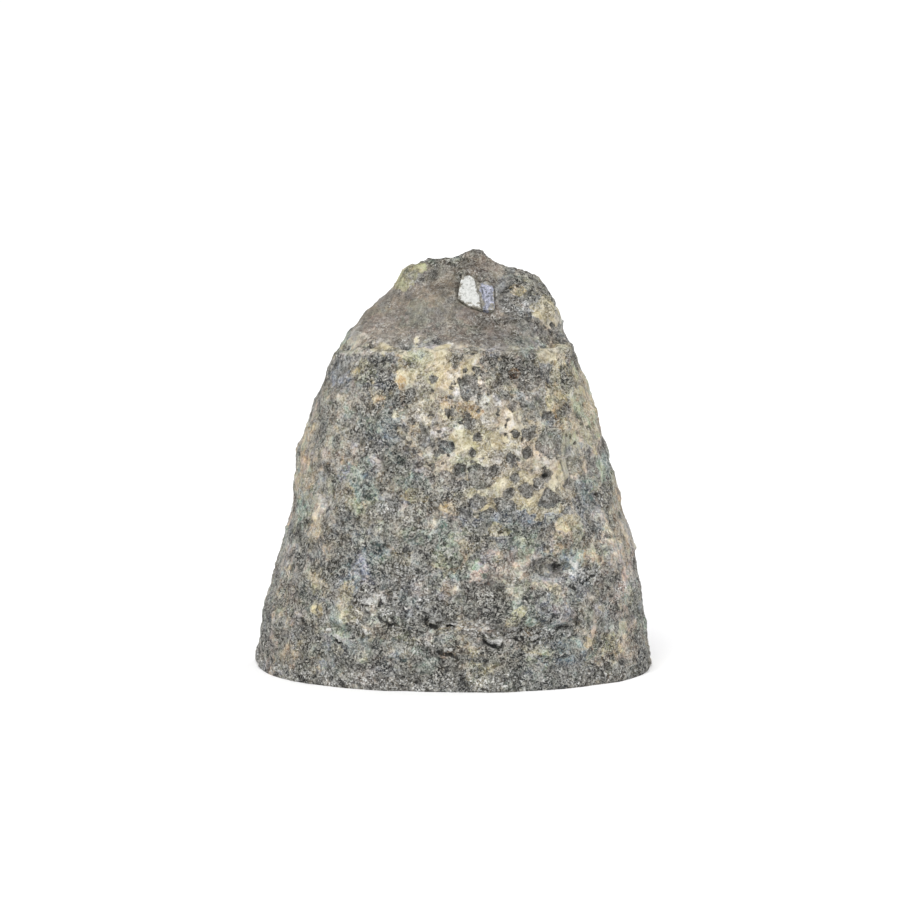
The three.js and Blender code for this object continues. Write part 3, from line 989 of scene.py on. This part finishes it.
@dataclass(frozen=True)
class WeatheredBasalt:
    """The rind's finish: grey to brown basalt with a cream skin, stains, streaks, grains and glints."""

    name: str = "weathered_basalt"
    ground: tuple[str, str, str] = ("353533", "6b6b65", "a2a29a")
    glass: tuple[str, str, str] = ("343737", "70726f", "b4b5b0")
    coats: tuple[Coat, ...] = (
        Coat(Zone.SLATE, ("343a42", "646c76", "a2a8b0"), 5.3),
        Coat(Zone.BROWN, ("3d3730", "574f46", "746b60"), 6.1),
        Coat(Zone.PINK, ("685e53", "9c9183", "c6bcab"), 4.7, 0.9),
        Coat(Zone.DARK, ("1f201e", "464744", "81817c"), 4.1, 0.95),
        # Lighter coat for wear and painted highlight on the lip and the ledges.
        Coat(Zone.WEAR_AND_HIGHLIGHT, ("857f76", "a7a299", "c6c2b9"), 2.9, 0.8),
        Coat(Zone.CREAM, ("736a5c", "b2a893", "d9d5cd"), 3.1, 1.0, 0.06),
        Coat(Zone.YELLOW, ("877b57", "b3a67f", "cfc6a4"), 3.4, 0.9, 0.07),
        Coat(Zone.OCHRE, ("5e4122", "96713b", "b2935d"), 2.6, 0.9, 0.1),
    )
    stains: tuple[Coat, ...] = (
        Coat(Zone.TEAL, ("46605b", "6a8880", "8fa8a0"), 3.7, 0.8),
        Coat(Zone.MOSS, ("6f6d4c", "9a976a", "bab88f"), 4.3, 0.8),
    )

    def material(self) -> bpy.types.Material:
        """Builds the material from the fields that the rind keeps at its points.

        Returns:
            The material.
        """
        sheet = StoneSheet(self.name)
        sheet.colour = sheet.toned(sheet.tone, self.ground)
        for coat in self.coats:
            sheet.coat(coat)
        sheet.windows(self.glass)
        for stain in self.stains:
            sheet.coat(stain)
        sheet.streaks()
        sheet.mottles()
        sheet.hairlines()
        sheet.flecks()
        sheet.crack_shade_and_highlight()
        sheet.bands()
        return sheet.finished(sheet.surface())


@dataclass(frozen=True)
class AmethystGloss:
    """Clear purple quartz, pale at its roots and deep purple at its points."""

    name: str = "amethyst_gloss"
    index: float = 1.544
    clearness: float = 0.5

    def material(self) -> bpy.types.Material:
        """Builds the material from the height and hue that the crystals keep at their points.

        Returns:
            The material.
        """
        sheet = NodeSheet(self.name)
        height = sheet.math("MULTIPLY_ADD", sheet.noise(3.0, 3, 0.6), 0.5, sheet.attribute("tip"))
        stops = (0.0, "d8d2e0"), (0.3, "a48fcb"), (1.0, "5f36a0")
        purple = sheet.ramp(sheet.math("SUBTRACT", height, 0.25), *stops)
        cool = sheet.mix(0.5, purple, "5a3cab", "SOFT_LIGHT")
        sheet.colour = sheet.mix(sheet.attribute("hue"), purple, cool)
        veil = sheet.noise(2.2, 4, 0.7, 1.0)
        sheet.lay("cfc3e0", veil, 0.56, 0.74, 0.4)
        inputs = {
            "Roughness": sheet.step(veil, 0.4, 0.7, 0.05, 0.3),
            "IOR": self.index,
            "Transmission Weight": self.clearness,
            "Normal": sheet.bump(sheet.noise(0.5, 2, 0.5), 0.03),
        }
        return sheet.finished(inputs)


@dataclass(frozen=True)
class BareQuartz:
    """White quartz, grey rock and lavender quartz side by side, with a ragged edge and a rusty corner."""

    name: str = "bare_quartz"
    roughness: float = 0.4

    def material(self) -> bpy.types.Material:
        """Builds the material from how far each point lies from the rind.

        Returns:
            The material.
        """
        sheet = NodeSheet(self.name)
        fine = sheet.noise(1.4, 4, 0.65)
        sheet.colour = sheet.ramp(fine, (0.33, "6b6c68"), (0.38, "abaca8"), (0.55, "c6c7c4"))
        lavender = sheet.ramp(fine, (0.36, "43464a"), (0.46, "7f828e"), (0.56, "9c9eaf"), (0.68, "c3c4cd"))
        rock = sheet.ramp(fine, (0.3, "45443d"), (0.5, "7a766c"), (0.7, "a9a69a"))
        across, up = (sheet.math("MULTIPLY", sheet.axis(axis), 1 / MM) for axis in "XZ")
        wander = sheet.math("MULTIPLY_ADD", sheet.noise(4.0, 5, 0.7, 0.5), 12.0, -6.0)
        slant = sheet.math("ADD", sheet.math("MULTIPLY_ADD", up, GROOVE_SLANT, across), wander)
        sheet.lay(rock, slant, 55.1, 55.4)
        sheet.lay(lavender, slant, 56.9, 57.3)
        corner = sheet.math("ADD", sheet.math("MULTIPLY_ADD", across, 0.5, up), wander)
        sheet.lay("a07a52", corner, 186.5, 184.5, 0.8)
        sheet.lay(rock, sheet.math("MULTIPLY_ADD", sheet.attribute("edge"), 0.7, wander), 1.0, 0.6)
        normal = sheet.bump(sheet.noise(1.2, 4, 0.7), 0.4)
        return sheet.finished({"Roughness": self.roughness, "Normal": normal})


# The rind


@dataclass
class RockRind:
    """The basalt wall of the nodule, sawn flat underneath and open behind."""

    voxel: float = 0.96
    quick_voxel: float = 1.6
    rounding: float = 3.6
    skin: float = 0.6
    pane_deep: float = 0.9
    hidden_share: float = 0.05
    rim_reach: float = 12.0
    strewn_ahead: float = 0.7
    base_width: float = 98.6
    base_height: float = 0.6
    bonded: float = 0.9
    free: float = 2.6
    front_limit: float = 25.0
    noise: StoneNoise = field(default_factory=lambda: StoneNoise(11))

    PITS = ((49.5, 58, 2.8, 0.9), (45.3, 101.8, 1.7, 1.8), (-6, 19, 2.4, 1.4))

    def build(self) -> Object:
        """Makes the rind's mesh from the frame's solid, with its relief and fields.

        Returns:
            The finished object.
        """
        voxel = self.voxel
        obj = remeshed(merged_copy("rock_rind", "basalt_rind"), voxel)
        net = ArrayMesh.of(obj.data)
        base = net.points[:, 2] < self.base_height
        off_crust = distances(net.points, "amethyst_crust", self.rim_reach)
        grown = ease(net.relaxed(off_crust, 2), self.bonded, self.free)
        rounds = round(2 * (self.rounding / voxel) ** 2)
        smooth = net.relaxed(net.points, rounds)
        smooth += net.relaxed(net.points - smooth, rounds)
        net.points += (smooth - net.points) * grown[:, None]
        net.points[:, 2] = np.where(base, 0, np.maximum(net.points[:, 2], 0))
        fields = self._fields(net)
        fields["window"] = self._windows(net.points, fields)
        raised = self._relief(net, fields)
        net.points += net.normals() * (raised * grown * ~base)[:, None]
        net.points[:, 2] = np.maximum(net.points[:, 2], 0)
        # Height over the smoothed surface, which the finish turns into painted shade in hollows and painted
        # highlight on rises.
        fields["relief"] = (raised - net.relaxed(raised, round(30 / voxel**2))) * grown
        fields["flow"] = self._flow(net.points) * MM
        fields["rim"] = np.maximum(off_crust - 1.0, 0) + 20 * (net.points[:, 1] < self.front_limit)
        net.put_on(obj.data)
        for name, values in fields.items():
            store(obj.data, name, values)
        return self._lightened(obj, np.maximum(1 - grown, base))

    def dress(self, obj: Object) -> None:
        """Gives the rind its finish and its place in the frame.

        Args:
            obj: The rind.
        """
        obj.data.materials.append(WeatheredBasalt().material())
        obj.data.polygons.foreach_set("use_smooth", [True] * len(obj.data.polygons))
        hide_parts("rock_rind")
        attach(obj, "root")

    def _fields(self, net: ArrayMesh) -> dict[str, Array]:
        """Works out how much each point belongs to each zone: as placed in front, by chance elsewhere.

        Args:
            net: The rounded net.

        Returns:
            The zones' weights by name.
        """
        fray = self.noise.rough(net.points, 10, 4, 0.6)
        front = ease(net.normals()[:, 1], 0.3, -0.1)
        result = {}
        for number, (zone, placed) in enumerate(PATCHES.items()):
            weight = np.max([patch.weight(net.points, fray) for patch in placed], axis=0)
            spread = SPREADS[zone]
            strewn = self.noise.rough(net.points + 100 * (number + 1), spread.length, 2)
            strewn = spread.strength * ease(strewn, spread.start - 0.25, spread.start + 0.25)
            result[zone.value] = np.maximum(weight * front, strewn * (1 - self.strewn_ahead * front))
        return result

    def _relief(self, net: ArrayMesh, fields: dict[str, Array]) -> Array:
        """Works out how far each point stands out, and marks where painted shade goes in undercuts and pits
        and where pale, partly highlighted chips go over the undercuts.

        Args:
            net: The rounded net.
            fields: The zones' weights, which gain the marks for painted shade and highlight at undercuts and
                pits.

        Returns:
            The heights in millimetres.
        """
        points = net.points
        calm = 1 - 0.7 * fields["brown"]
        height = 1.0 * self.noise.rough(points, 14, 2) + 0.55 * self.noise.rough(points, 5, 3, 0.65) * calm
        nearest, _, chance = self.noise.cells(points, 3.6)
        height += 0.8 * fields["knobs"] * ease(nearest, 1.7, 0.3) * ease(chance, 0.3, 0.7)
        height += 1.3 * fields["dark"] * self.noise.rough(points + 9, 4.5, 3, 0.6)
        height += 1.0 * fields["chips"] * (self.noise.cells(points * (1, 1, 1.6) + 60, 3.4)[2] - 0.5)
        height += 0.15 * fields["combed"] * self.noise.waves(points * (0.2, 0.2, 1.0), 2.2)
        flowing = np.stack([self._flow(points), 0.5 * points[:, 1], 0.12 * points[:, 2]], axis=1)
        height += 0.45 * fields["streaks"] * self.noise.rough(flowing, 3.4, 2)
        cover = np.maximum(fields["cream"], fields["yellow"])
        height += self.skin * cover * ease(fields["window"], 0.4, -0.6)
        height -= self.pane_deep * cover * ease(fields["window"], -0.2, 0.9)
        height -= self._vesicles(points, fields["brown"])
        # Marks for painted shade in undercuts and pits, and for pale chips over the undercuts that are
        # partly painted highlight.
        fields["crack_shade_and_highlight"] = np.zeros(len(points))
        for stroke in STROKES:
            height += self._crevice(points, stroke, fields["crack_shade_and_highlight"])
        height += self._lip(points, fields)
        front = ease(net.normals()[:, 1], 0.2, -0.2)
        for x, z, size, deep in self.PITS:
            # Painted shade darkens each pit on the rough side.
            fields["crack_shade_and_highlight"] += 0.9 * (points[:, 1] < 0) * Patch(x, z, size, 0.6 * size).weight(points)
            height -= deep * front * Patch(x, z, size, 0.7 * size).weight(points)
        return height * self._clear_of_quartz(points)

    def _windows(self, points: Array, fields: dict[str, Array]) -> Array:
        """Opens windows in the skin: random pits and placed panes.

        Args:
            points: Places in millimetres.
            fields: The zones' weights.

        Returns:
            How far each point lies inside a window, in millimetres.
        """
        pushes = [self.noise.waves(points + shift, 3) for shift in (5, 15, 25)]
        warped = points + 0.7 * np.stack(pushes, axis=1)
        crowd = fields["slate"] + 1.5 * fields["dark"]
        inside = np.full(len(points), -9.0)
        for size, offset, rare in ((2.7, 0.0, 0.72), (5.2, 40.0, 0.8)):
            nearest, second, chance = self.noise.cells(warped + offset, size)
            shown = ease(chance, rare - 0.1 * crowd, rare + 0.06) * (1 - 0.8 * fields["yellow"])
            reach = size * (0.14 + 0.3 * chance + 0.07 * crowd) * shown - nearest
            pit = np.minimum(reach, (second - nearest) / 2 - 0.25) - 0.5 * (1 - shown)
            inside = np.maximum(inside, pit)
        dice = np.random.default_rng(4)
        for x, z, radius in PANES:
            turns = np.arange(6) * math.tau / 6 + dice.uniform(-0.35, 0.35, 6)
            reach = radius * dice.uniform(0.78, 1.15, 6)
            across, up = warped[:, 0] - x, warped[:, 2] - z
            sides = [far - across * math.cos(turn) - up * math.sin(turn) for far, turn in zip(reach, turns)]
            inside = np.maximum(inside, np.where(points[:, 1] < 0, np.min(sides, axis=0), -9))
        return np.clip(inside, -4, 4) - 4 * ease(np.maximum(fields["cream"], fields["yellow"]), 0.35, 0.1)

    def _vesicles(self, points: Array, calm: Array) -> Array:
        """Scatters small round pits over the outside.

        Args:
            points: Places in millimetres.
            calm: Where there are few.

        Returns:
            Their depths.
        """
        nearest, _, chance = self.noise.cells(points + 70, 6.5)
        radius = 0.4 + 1.1 * chance
        pitted = ease(chance, 0.6, 0.75) * (1 - 0.8 * calm)
        return 0.6 * radius * pitted * ease(nearest - radius, 0.4, -0.7)

    def _crevice(self, points: Array, stroke: Stroke, crack_shade_and_highlight: Array) -> Array:
        """Chips a lip with an undercut below it, broken off here and there.

        Args:
            points: Places in millimetres.
            stroke: The line it follows.
            crack_shade_and_highlight: Marks to add to: above 0 for painted shade where the undercut is,
                below 0 on the pale chips over it, which are partly painted highlight.

        Returns:
            The heights.
        """
        above, beyond = stroke.offsets(points)
        above = above + 6.0 * self.noise.rough(points + 3, 12, 4)
        whole = 0.1 + 0.9 * ease(self.noise.rough(points + 17, 6, 2), -0.2, 0.3)
        kept = ease(beyond, 5, 0) * (points[:, 1] < 0) * whole
        # Painted shade just under the line, and pale chips just over it that are partly painted highlight.
        crack_shade_and_highlight += kept * (1.5 * ridge(above, -0.9, 1.6) - 2.4 * ridge(above, 1.8, 1.7))
        lip = 1.1 * ease(above, 4.5, 1.0) * ease(above, 0.1, 0.9)
        return kept * (lip - 0.65 * stroke.deep * ridge(above, -0.5 * stroke.wide, 0.7 * stroke.wide))

    def _lip(self, points: Array, fields: dict[str, Array]) -> Array:
        """Swells the stone towards the ledge between scoop and steep side, which ends in a lip with wear and
        painted highlight.

        Args:
            points: Places in millimetres.
            fields: The zones' weights, of which the one for wear and highlight gains the lip.

        Returns:
            The heights.
        """
        above, beyond = LIP.offsets(points)
        above = above + 1.2 * self.noise.rough(points + 41, 9, 3)
        kept = ease(beyond, 7, 0) * (points[:, 1] < 12)
        band = ease(above, -3.5, -1.0) * ease(above, 7.0, 2.0)
        band *= 0.75 + 0.25 * self.noise.rough(points + 51, 6, 2)
        # The lip's band gets the lighter coat: partly wear, partly painted highlight.
        fields["wear_and_highlight"] = np.maximum(fields["wear_and_highlight"], kept * band)
        return LIP.deep * kept * ease(above, -LIP.wide, -0.6) * ease(above, 2.0, 0.2)

    def _flow(self, points: Array) -> Array:
        """The place across, stretched so that lines of one value run down the flanks."""
        half_width = np.interp(points[:, 2], (0, 160, 208), (self.base_width, 58, 30))
        return points[:, 0] * self.base_width / half_width

    @staticmethod
    def _clear_of_quartz(points: Array) -> Array:
        """Keeps the relief off the recess of the bare quartz.

        Args:
            points: Places in millimetres.

        Returns:
            The share of the relief that is left.
        """
        low, high = (np.array(corner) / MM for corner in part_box("quartz_window"))
        beyond = np.maximum(np.abs(points - (low + high) / 2) - (high - low) / 2, 0)
        return ease(np.linalg.norm(beyond, axis=1), 0, 4)

    def _lightened(self, obj: Object, hidden: Array) -> Object:
        """Thins the net where the crust covers it and under the base.

        Args:
            obj: The rind.
            hidden: How much each point is hidden.

        Returns:
            The same object.
        """
        group = obj.vertex_groups.new(name="hidden")
        covered = np.flatnonzero(hidden > 0.95)
        group.add(covered.tolist(), 1.0, "REPLACE")
        thin = obj.modifiers.new("thin", "DECIMATE")
        thin.ratio = 1 - (1 - self.hidden_share) * len(covered) / len(hidden)
        thin.vertex_group = group.name
        settled(obj)
        obj.vertex_groups.clear()
        return obj


# The hollow's crystals


class CrystalGrowth(NodeTree):
    """A Geometry Nodes tree that grows small six-sided points where a mesh has seats for them."""

    SIZES = {"Spacing": 2.5 * MM, "Least": 1.0 * MM, "Most": 2.9 * MM}
    SHAFT, POINT, NECK = 1.5, 1.15, 0.94
    CROWDING = 3e5
    LEAN, TURN = 0.35, 1.05

    def __init__(self) -> None:
        """Builds the tree."""
        super().__init__(bpy.data.node_groups.new("crystal_growth", "GeometryNodeTree"))
        face = self.tree.interface
        face.new_socket("Geometry", in_out="INPUT", socket_type="NodeSocketGeometry")
        for name, value in self.SIZES.items():
            face.new_socket(name, in_out="INPUT", socket_type="NodeSocketFloat").default_value = value
        face.new_socket("Seed", in_out="INPUT", socket_type="NodeSocketInt")
        face.new_socket("Material", in_out="INPUT", socket_type="NodeSocketMaterial")
        face.new_socket("Geometry", in_out="OUTPUT", socket_type="NodeSocketGeometry")
        self.given = self.add("NodeGroupInput").outputs
        solid = self.made("GeometryNodeRealizeInstances", {"Geometry": self._grown(self._crystal())})
        painted = {"Geometry": solid, "Material": self.given["Material"]}
        self.add("NodeGroupOutput", {"Geometry": self.made("GeometryNodeSetMaterial", painted)})

    def on(self, obj: Object, seed: int, material: bpy.types.Material, **sizes: float) -> Object:
        """Grows crystals on an object and keeps only them.

        Args:
            obj: The object with the attributes seat and room at its points.
            seed: What fixes the crystals' places.
            material: The crystals' finish.
            sizes: Lengths in metres that differ from the usual ones.

        Returns:
            The same object, now the crystals as a plain mesh.
        """
        growth = obj.modifiers.new("growth", "NODES")
        growth.node_group = self.tree
        given = {"Seed": seed, "Material": material, **sizes}
        for item in self.tree.interface.items_tree:
            if item.in_out == "INPUT" and item.name in given:
                growth[item.identifier] = given[item.name]
        return settled(obj)

    def _crystal(self) -> Socket:
        """Makes one crystal of radius 1: a short six-sided shaft with a point and a closed foot.

        Returns:
            The crystal's geometry.
        """
        shaft, point = self._cone(1.0, self.NECK, self.SHAFT), self._cone(self.NECK, 0.0, self.POINT)
        lifted = {"Geometry": point, "Translation": (0, 0, self.SHAFT)}
        foot = self.made("GeometryNodeMeshCircle", {"Vertices": 6, "Radius": 1.0}, fill_type="NGON")
        whole = self.add("GeometryNodeJoinGeometry")
        self.join(self.made("GeometryNodeFlipFaces", {"Mesh": foot}), whole.inputs[0])
        self.join(self.made("GeometryNodeTransform", lifted), whole.inputs[0])
        self.join(shaft, whole.inputs[0])
        closed = {"Geometry": whole.outputs[0], "Distance": 0.001}
        place = self.add("ShaderNodeSeparateXYZ", {"Vector": self.made("GeometryNodeInputPosition")})
        tip = self.math("DIVIDE", place.outputs["Z"], self.SHAFT + self.POINT)
        return self._kept(self.made("GeometryNodeMergeByDistance", closed), "tip", tip, "POINT")

    def _cone(self, low: float, high: float, deep: float) -> Socket:
        """Makes an open six-sided cone that stands on the ground."""
        inputs = {"Vertices": 6, "Radius Bottom": low, "Radius Top": high, "Depth": deep}
        return self.made("GeometryNodeMeshCone", inputs, fill_type="NONE")

    def _kept(self, geometry: Socket, name: str, value: Socket, domain: str) -> Socket:
        """Keeps a number on a geometry under a name."""
        inputs = {"Geometry": geometry, "Name": name, "Value": value}
        return self.made("GeometryNodeStoreNamedAttribute", inputs, data_type="FLOAT", domain=domain)

    def _named(self, name: str) -> Socket:
        """Reads a number that the mesh keeps."""
        return self.made("GeometryNodeInputNamedAttribute", {"Name": name}, data_type="FLOAT")

    def _chance(self, low: Source, high: Source, seed: int, kind: str = "FLOAT") -> Socket:
        """Draws a random value between two for each crystal."""
        inputs = {"Min": low, "Max": high, "Seed": seed}
        return self.made("FunctionNodeRandomValue", inputs, data_type=kind)

    def _grown(self, crystal: Socket) -> Socket:
        """Places crystals on the faces, turned about their normals and leaning a little.

        Args:
            crystal: One crystal.

        Returns:
            All of them, as instances.
        """
        where = {
            "Mesh": self.given["Geometry"],
            "Seed": self.given["Seed"],
            "Distance Min": self.given["Spacing"],
            "Density Max": self.CROWDING,
            "Density Factor": self._named("seat"),
        }
        spots = self.add("GeometryNodeDistributePointsOnFaces", where, distribute_method="POISSON").outputs
        upright = {"Vector": spots["Normal"]}
        least, most = (-self.LEAN, -self.LEAN, 0.0), (self.LEAN, self.LEAN, self.TURN)
        turned = {
            "Rotation": self.made("FunctionNodeAlignRotationToVector", upright, axis="Z"),
            "Rotate By": self._chance(least, most, 3, "FLOAT_VECTOR"),
        }
        size = self._chance(self.given["Least"], self.given["Most"], 5)
        placed = {
            "Points": spots["Points"],
            "Instance": crystal,
            "Rotation": self.made("FunctionNodeRotateRotation", turned, rotation_space="LOCAL"),
            "Scale": self.math("MULTIPLY", size, self._named("room")),
        }
        grown = self.made("GeometryNodeInstanceOnPoints", placed)
        return self._kept(grown, "hue", self._chance(0.0, 1.0, 9), "INSTANCE")


@dataclass
class AmethystCrust:
    """The crystals that line the hollow: large points on a bed, with small ones between them."""

    seat_voxel: float = 1.6
    bed: float = 3.5
    gap: float = 0.6
    press: float = 0.3
    hue_width: float = 16.0
    mouth_margin: float = 5.0
    mouth: tuple[float, float, float] = (44.9, -0.09, -0.06)
    noise: StoneNoise = field(default_factory=lambda: StoneNoise(23))

    GROWTHS = ((7, {}), (21, {"Spacing": 5.2 * MM, "Least": 2.2 * MM, "Most": 4.4 * MM}))

    def build(self) -> Object:
        """Takes the frame's large crystals and grows small ones at their feet.

        Returns:
            The whole crust as one object.
        """
        finish = AmethystGloss().material()
        crust = merged_copy("amethyst_crust", "amethyst_points")
        self._seated(crust)
        crust.data.materials.append(finish)
        pieces = [crust]
        for seed, sizes in self.GROWTHS:
            seats = remeshed(merged_copy("amethyst_crust", f"seats_{seed}"), self.seat_voxel)
            self._mark_seats(seats)
            pieces.append(CrystalGrowth().on(seats, seed, finish, **sizes))
        return joined(pieces, "amethyst_points")

    def dress(self, obj: Object) -> None:
        """Gives the crust its place in the frame.

        Args:
            obj: The crust.
        """
        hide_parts("amethyst_crust")
        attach(obj, "root")

    def _inside_mouth(self, points: Array) -> Array:
        """How far each point lies behind the slanting face that the mouth is cut along, in millimetres."""
        level, across, up = self.mouth
        return level + across * points[:, 0] + up * points[:, 2] - points[:, 1]

    def _seated(self, crust: Object) -> None:
        """Presses the bed against the rock, and keeps each point's height above it and its hue.

        Args:
            crust: The frame's crust.
        """
        points = rows(crust.data.vertices, "co", 3) / MM
        normals = rows(crust.data.vertex_normals, "vector", 3)
        off = distances(points, "rock_rind")
        points += normals * (off < self.gap)[:, None] * self.press
        crust.data.vertices.foreach_set("co", (points * MM).ravel())
        cut = ease(normals[:, 1], 0.8, 0.97) * ease(self._inside_mouth(points), 4.5, 2)
        store(crust.data, "tip", ease(off, self.bed - 1, 15) * (1 - cut * ease(off, 7.5, 5.5)))
        store(crust.data, "hue", self.noise.cells(points, self.hue_width)[2])

    def _mark_seats(self, seats: Object) -> None:
        """Marks where small crystals may stand, and how much room they have.

        Args:
            seats: The crust as an even net.
        """
        points = ArrayMesh.of(seats.data).points
        off, inside = distances(points, "rock_rind"), self._inside_mouth(points)
        near = (off > self.bed - 1.9) & (off < self.bed + 2.4)
        store(seats.data, "seat", near & (inside > self.mouth_margin))
        store(seats.data, "room", ease(inside, 3, 15) * 0.4 + 0.6)


# The bare quartz


@dataclass
class QuartzWindow:
    """The patch near the crest where the rind is chipped through to quartz."""

    voxel: float = 0.4
    groove: float = 56.4
    groove_wide: float = 1.1
    groove_deep: float = 0.7
    noise: StoneNoise = field(default_factory=lambda: StoneNoise(5))

    def build(self) -> Object:
        """Refines the frame's plate into broken quartz with a groove between its two halves.

        Returns:
            The patch.
        """
        obj = remeshed(merged_copy("quartz_window", "quartz_patch"), self.voxel)
        net = ArrayMesh.of(obj.data)
        net.points = net.relaxed(net.points, 2)
        chance = self.noise.cells(net.points, 3.2)[2]
        chipped = 0.3 * (chance - 0.5) + 0.12 * self.noise.rough(net.points, 1.6, 2)
        slant = net.points[:, 0] + GROOVE_SLANT * net.points[:, 2]
        normals = net.normals()
        groove = ridge(slant, self.groove, self.groove_wide)
        chipped -= self.groove_deep * ease(normals[:, 1], 0, -0.5) * groove
        store(obj.data, "edge", distances(net.points, "rock_rind"))
        net.points += normals * chipped[:, None]
        net.put_on(obj.data)
        return obj

    def dress(self, obj: Object) -> None:
        """Gives the patch its finish and its place in the frame.

        Args:
            obj: The patch.
        """
        obj.data.materials.append(BareQuartz().material())
        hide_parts("quartz_window")
        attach(obj, "root")


# The studio


@dataclass
class Studio:
    """Camera, lights and floor."""

    distance: float = 1.4
    elevation: float = 6.38
    aim: tuple[float, float, float] = (-0.0012, 0.0, 0.11095)
    lens: float = 114.5
    room: float = 0.55
    backdrop: float = 1.05
    softness: float = 50.0
    sensor: float = 36.0
    floor_reach: float = 6.0
    floor_grey: float = 0.97

    LAMPS = {"key": ((-0.24, -0.68, 0.75), 2.66), "fill": ((0.7, 0.5, 0.5), 1.0)}

    def camera(self) -> None:
        """Places the camera in front of the rough side, a little above the middle."""
        lens = bpy.data.cameras.new("camera")
        lens.sensor_width = self.sensor
        lens.lens = self.lens
        lens.clip_start, lens.clip_end = 0.05, 50
        obj = bpy.data.objects.new("camera", lens)
        turn = math.radians(self.elevation)
        x, y, z = self.aim
        obj.location = (x, y - self.distance * math.cos(turn), z + self.distance * math.sin(turn))
        obj.rotation_euler = (math.pi / 2 - turn, 0, 0)
        bpy.context.scene.collection.objects.link(obj)
        bpy.context.scene.camera = obj

    def lights(self) -> None:
        """Sets a white room with a broad light in front and a weaker one behind."""
        world = bpy.data.worlds.new("room")
        bpy.context.scene.world = world
        world.use_nodes = True
        background = world.node_tree.nodes["Background"]
        background.inputs["Color"].default_value = (1, 1, 1, 1)
        seen = world.node_tree.nodes.new("ShaderNodeLightPath")
        strength = world.node_tree.nodes.new("ShaderNodeMapRange")
        strength.inputs["To Min"].default_value = self.room
        strength.inputs["To Max"].default_value = self.backdrop
        world.node_tree.links.new(seen.outputs["Is Camera Ray"], strength.inputs["Value"])
        world.node_tree.links.new(strength.outputs["Result"], background.inputs["Strength"])
        for name, (towards, energy) in self.LAMPS.items():
            light = bpy.data.lights.new(name, "SUN")
            light.energy = energy
            light.angle = math.radians(self.softness)
            obj = bpy.data.objects.new(name, light)
            obj.rotation_euler = (-Vector(towards)).to_track_quat("-Z", "Y").to_euler()
            bpy.context.scene.collection.objects.link(obj)
        bpy.context.scene.view_settings.view_transform = "Standard"

    def floor(self) -> None:
        """Lays a pale floor under the base."""
        shape = bmesh.new()
        bmesh.ops.create_grid(shape, x_segments=4, y_segments=4, size=self.floor_reach)
        obj = plain_object("floor", shape)
        sheet = NodeSheet("pale_floor")
        sheet.colour = (self.floor_grey,) * 3 + (1,)
        obj.data.materials.append(sheet.finished({"Roughness": 0.9}))


def main() -> None:
    """Builds and dresses every piece, and reports each one."""
    logging.basicConfig(level=logging.INFO, format="%(name)s: %(message)s")
    studio = Studio()
    studio.camera()
    for piece in (RockRind(), AmethystCrust(), QuartzWindow()):
        obj = piece.build()
        piece.dress(obj)
        LOG.info("%s: %d faces", obj.name, len(obj.data.polygons))
    studio.lights()
    studio.floor()


if __name__ == "__main__":
    main()
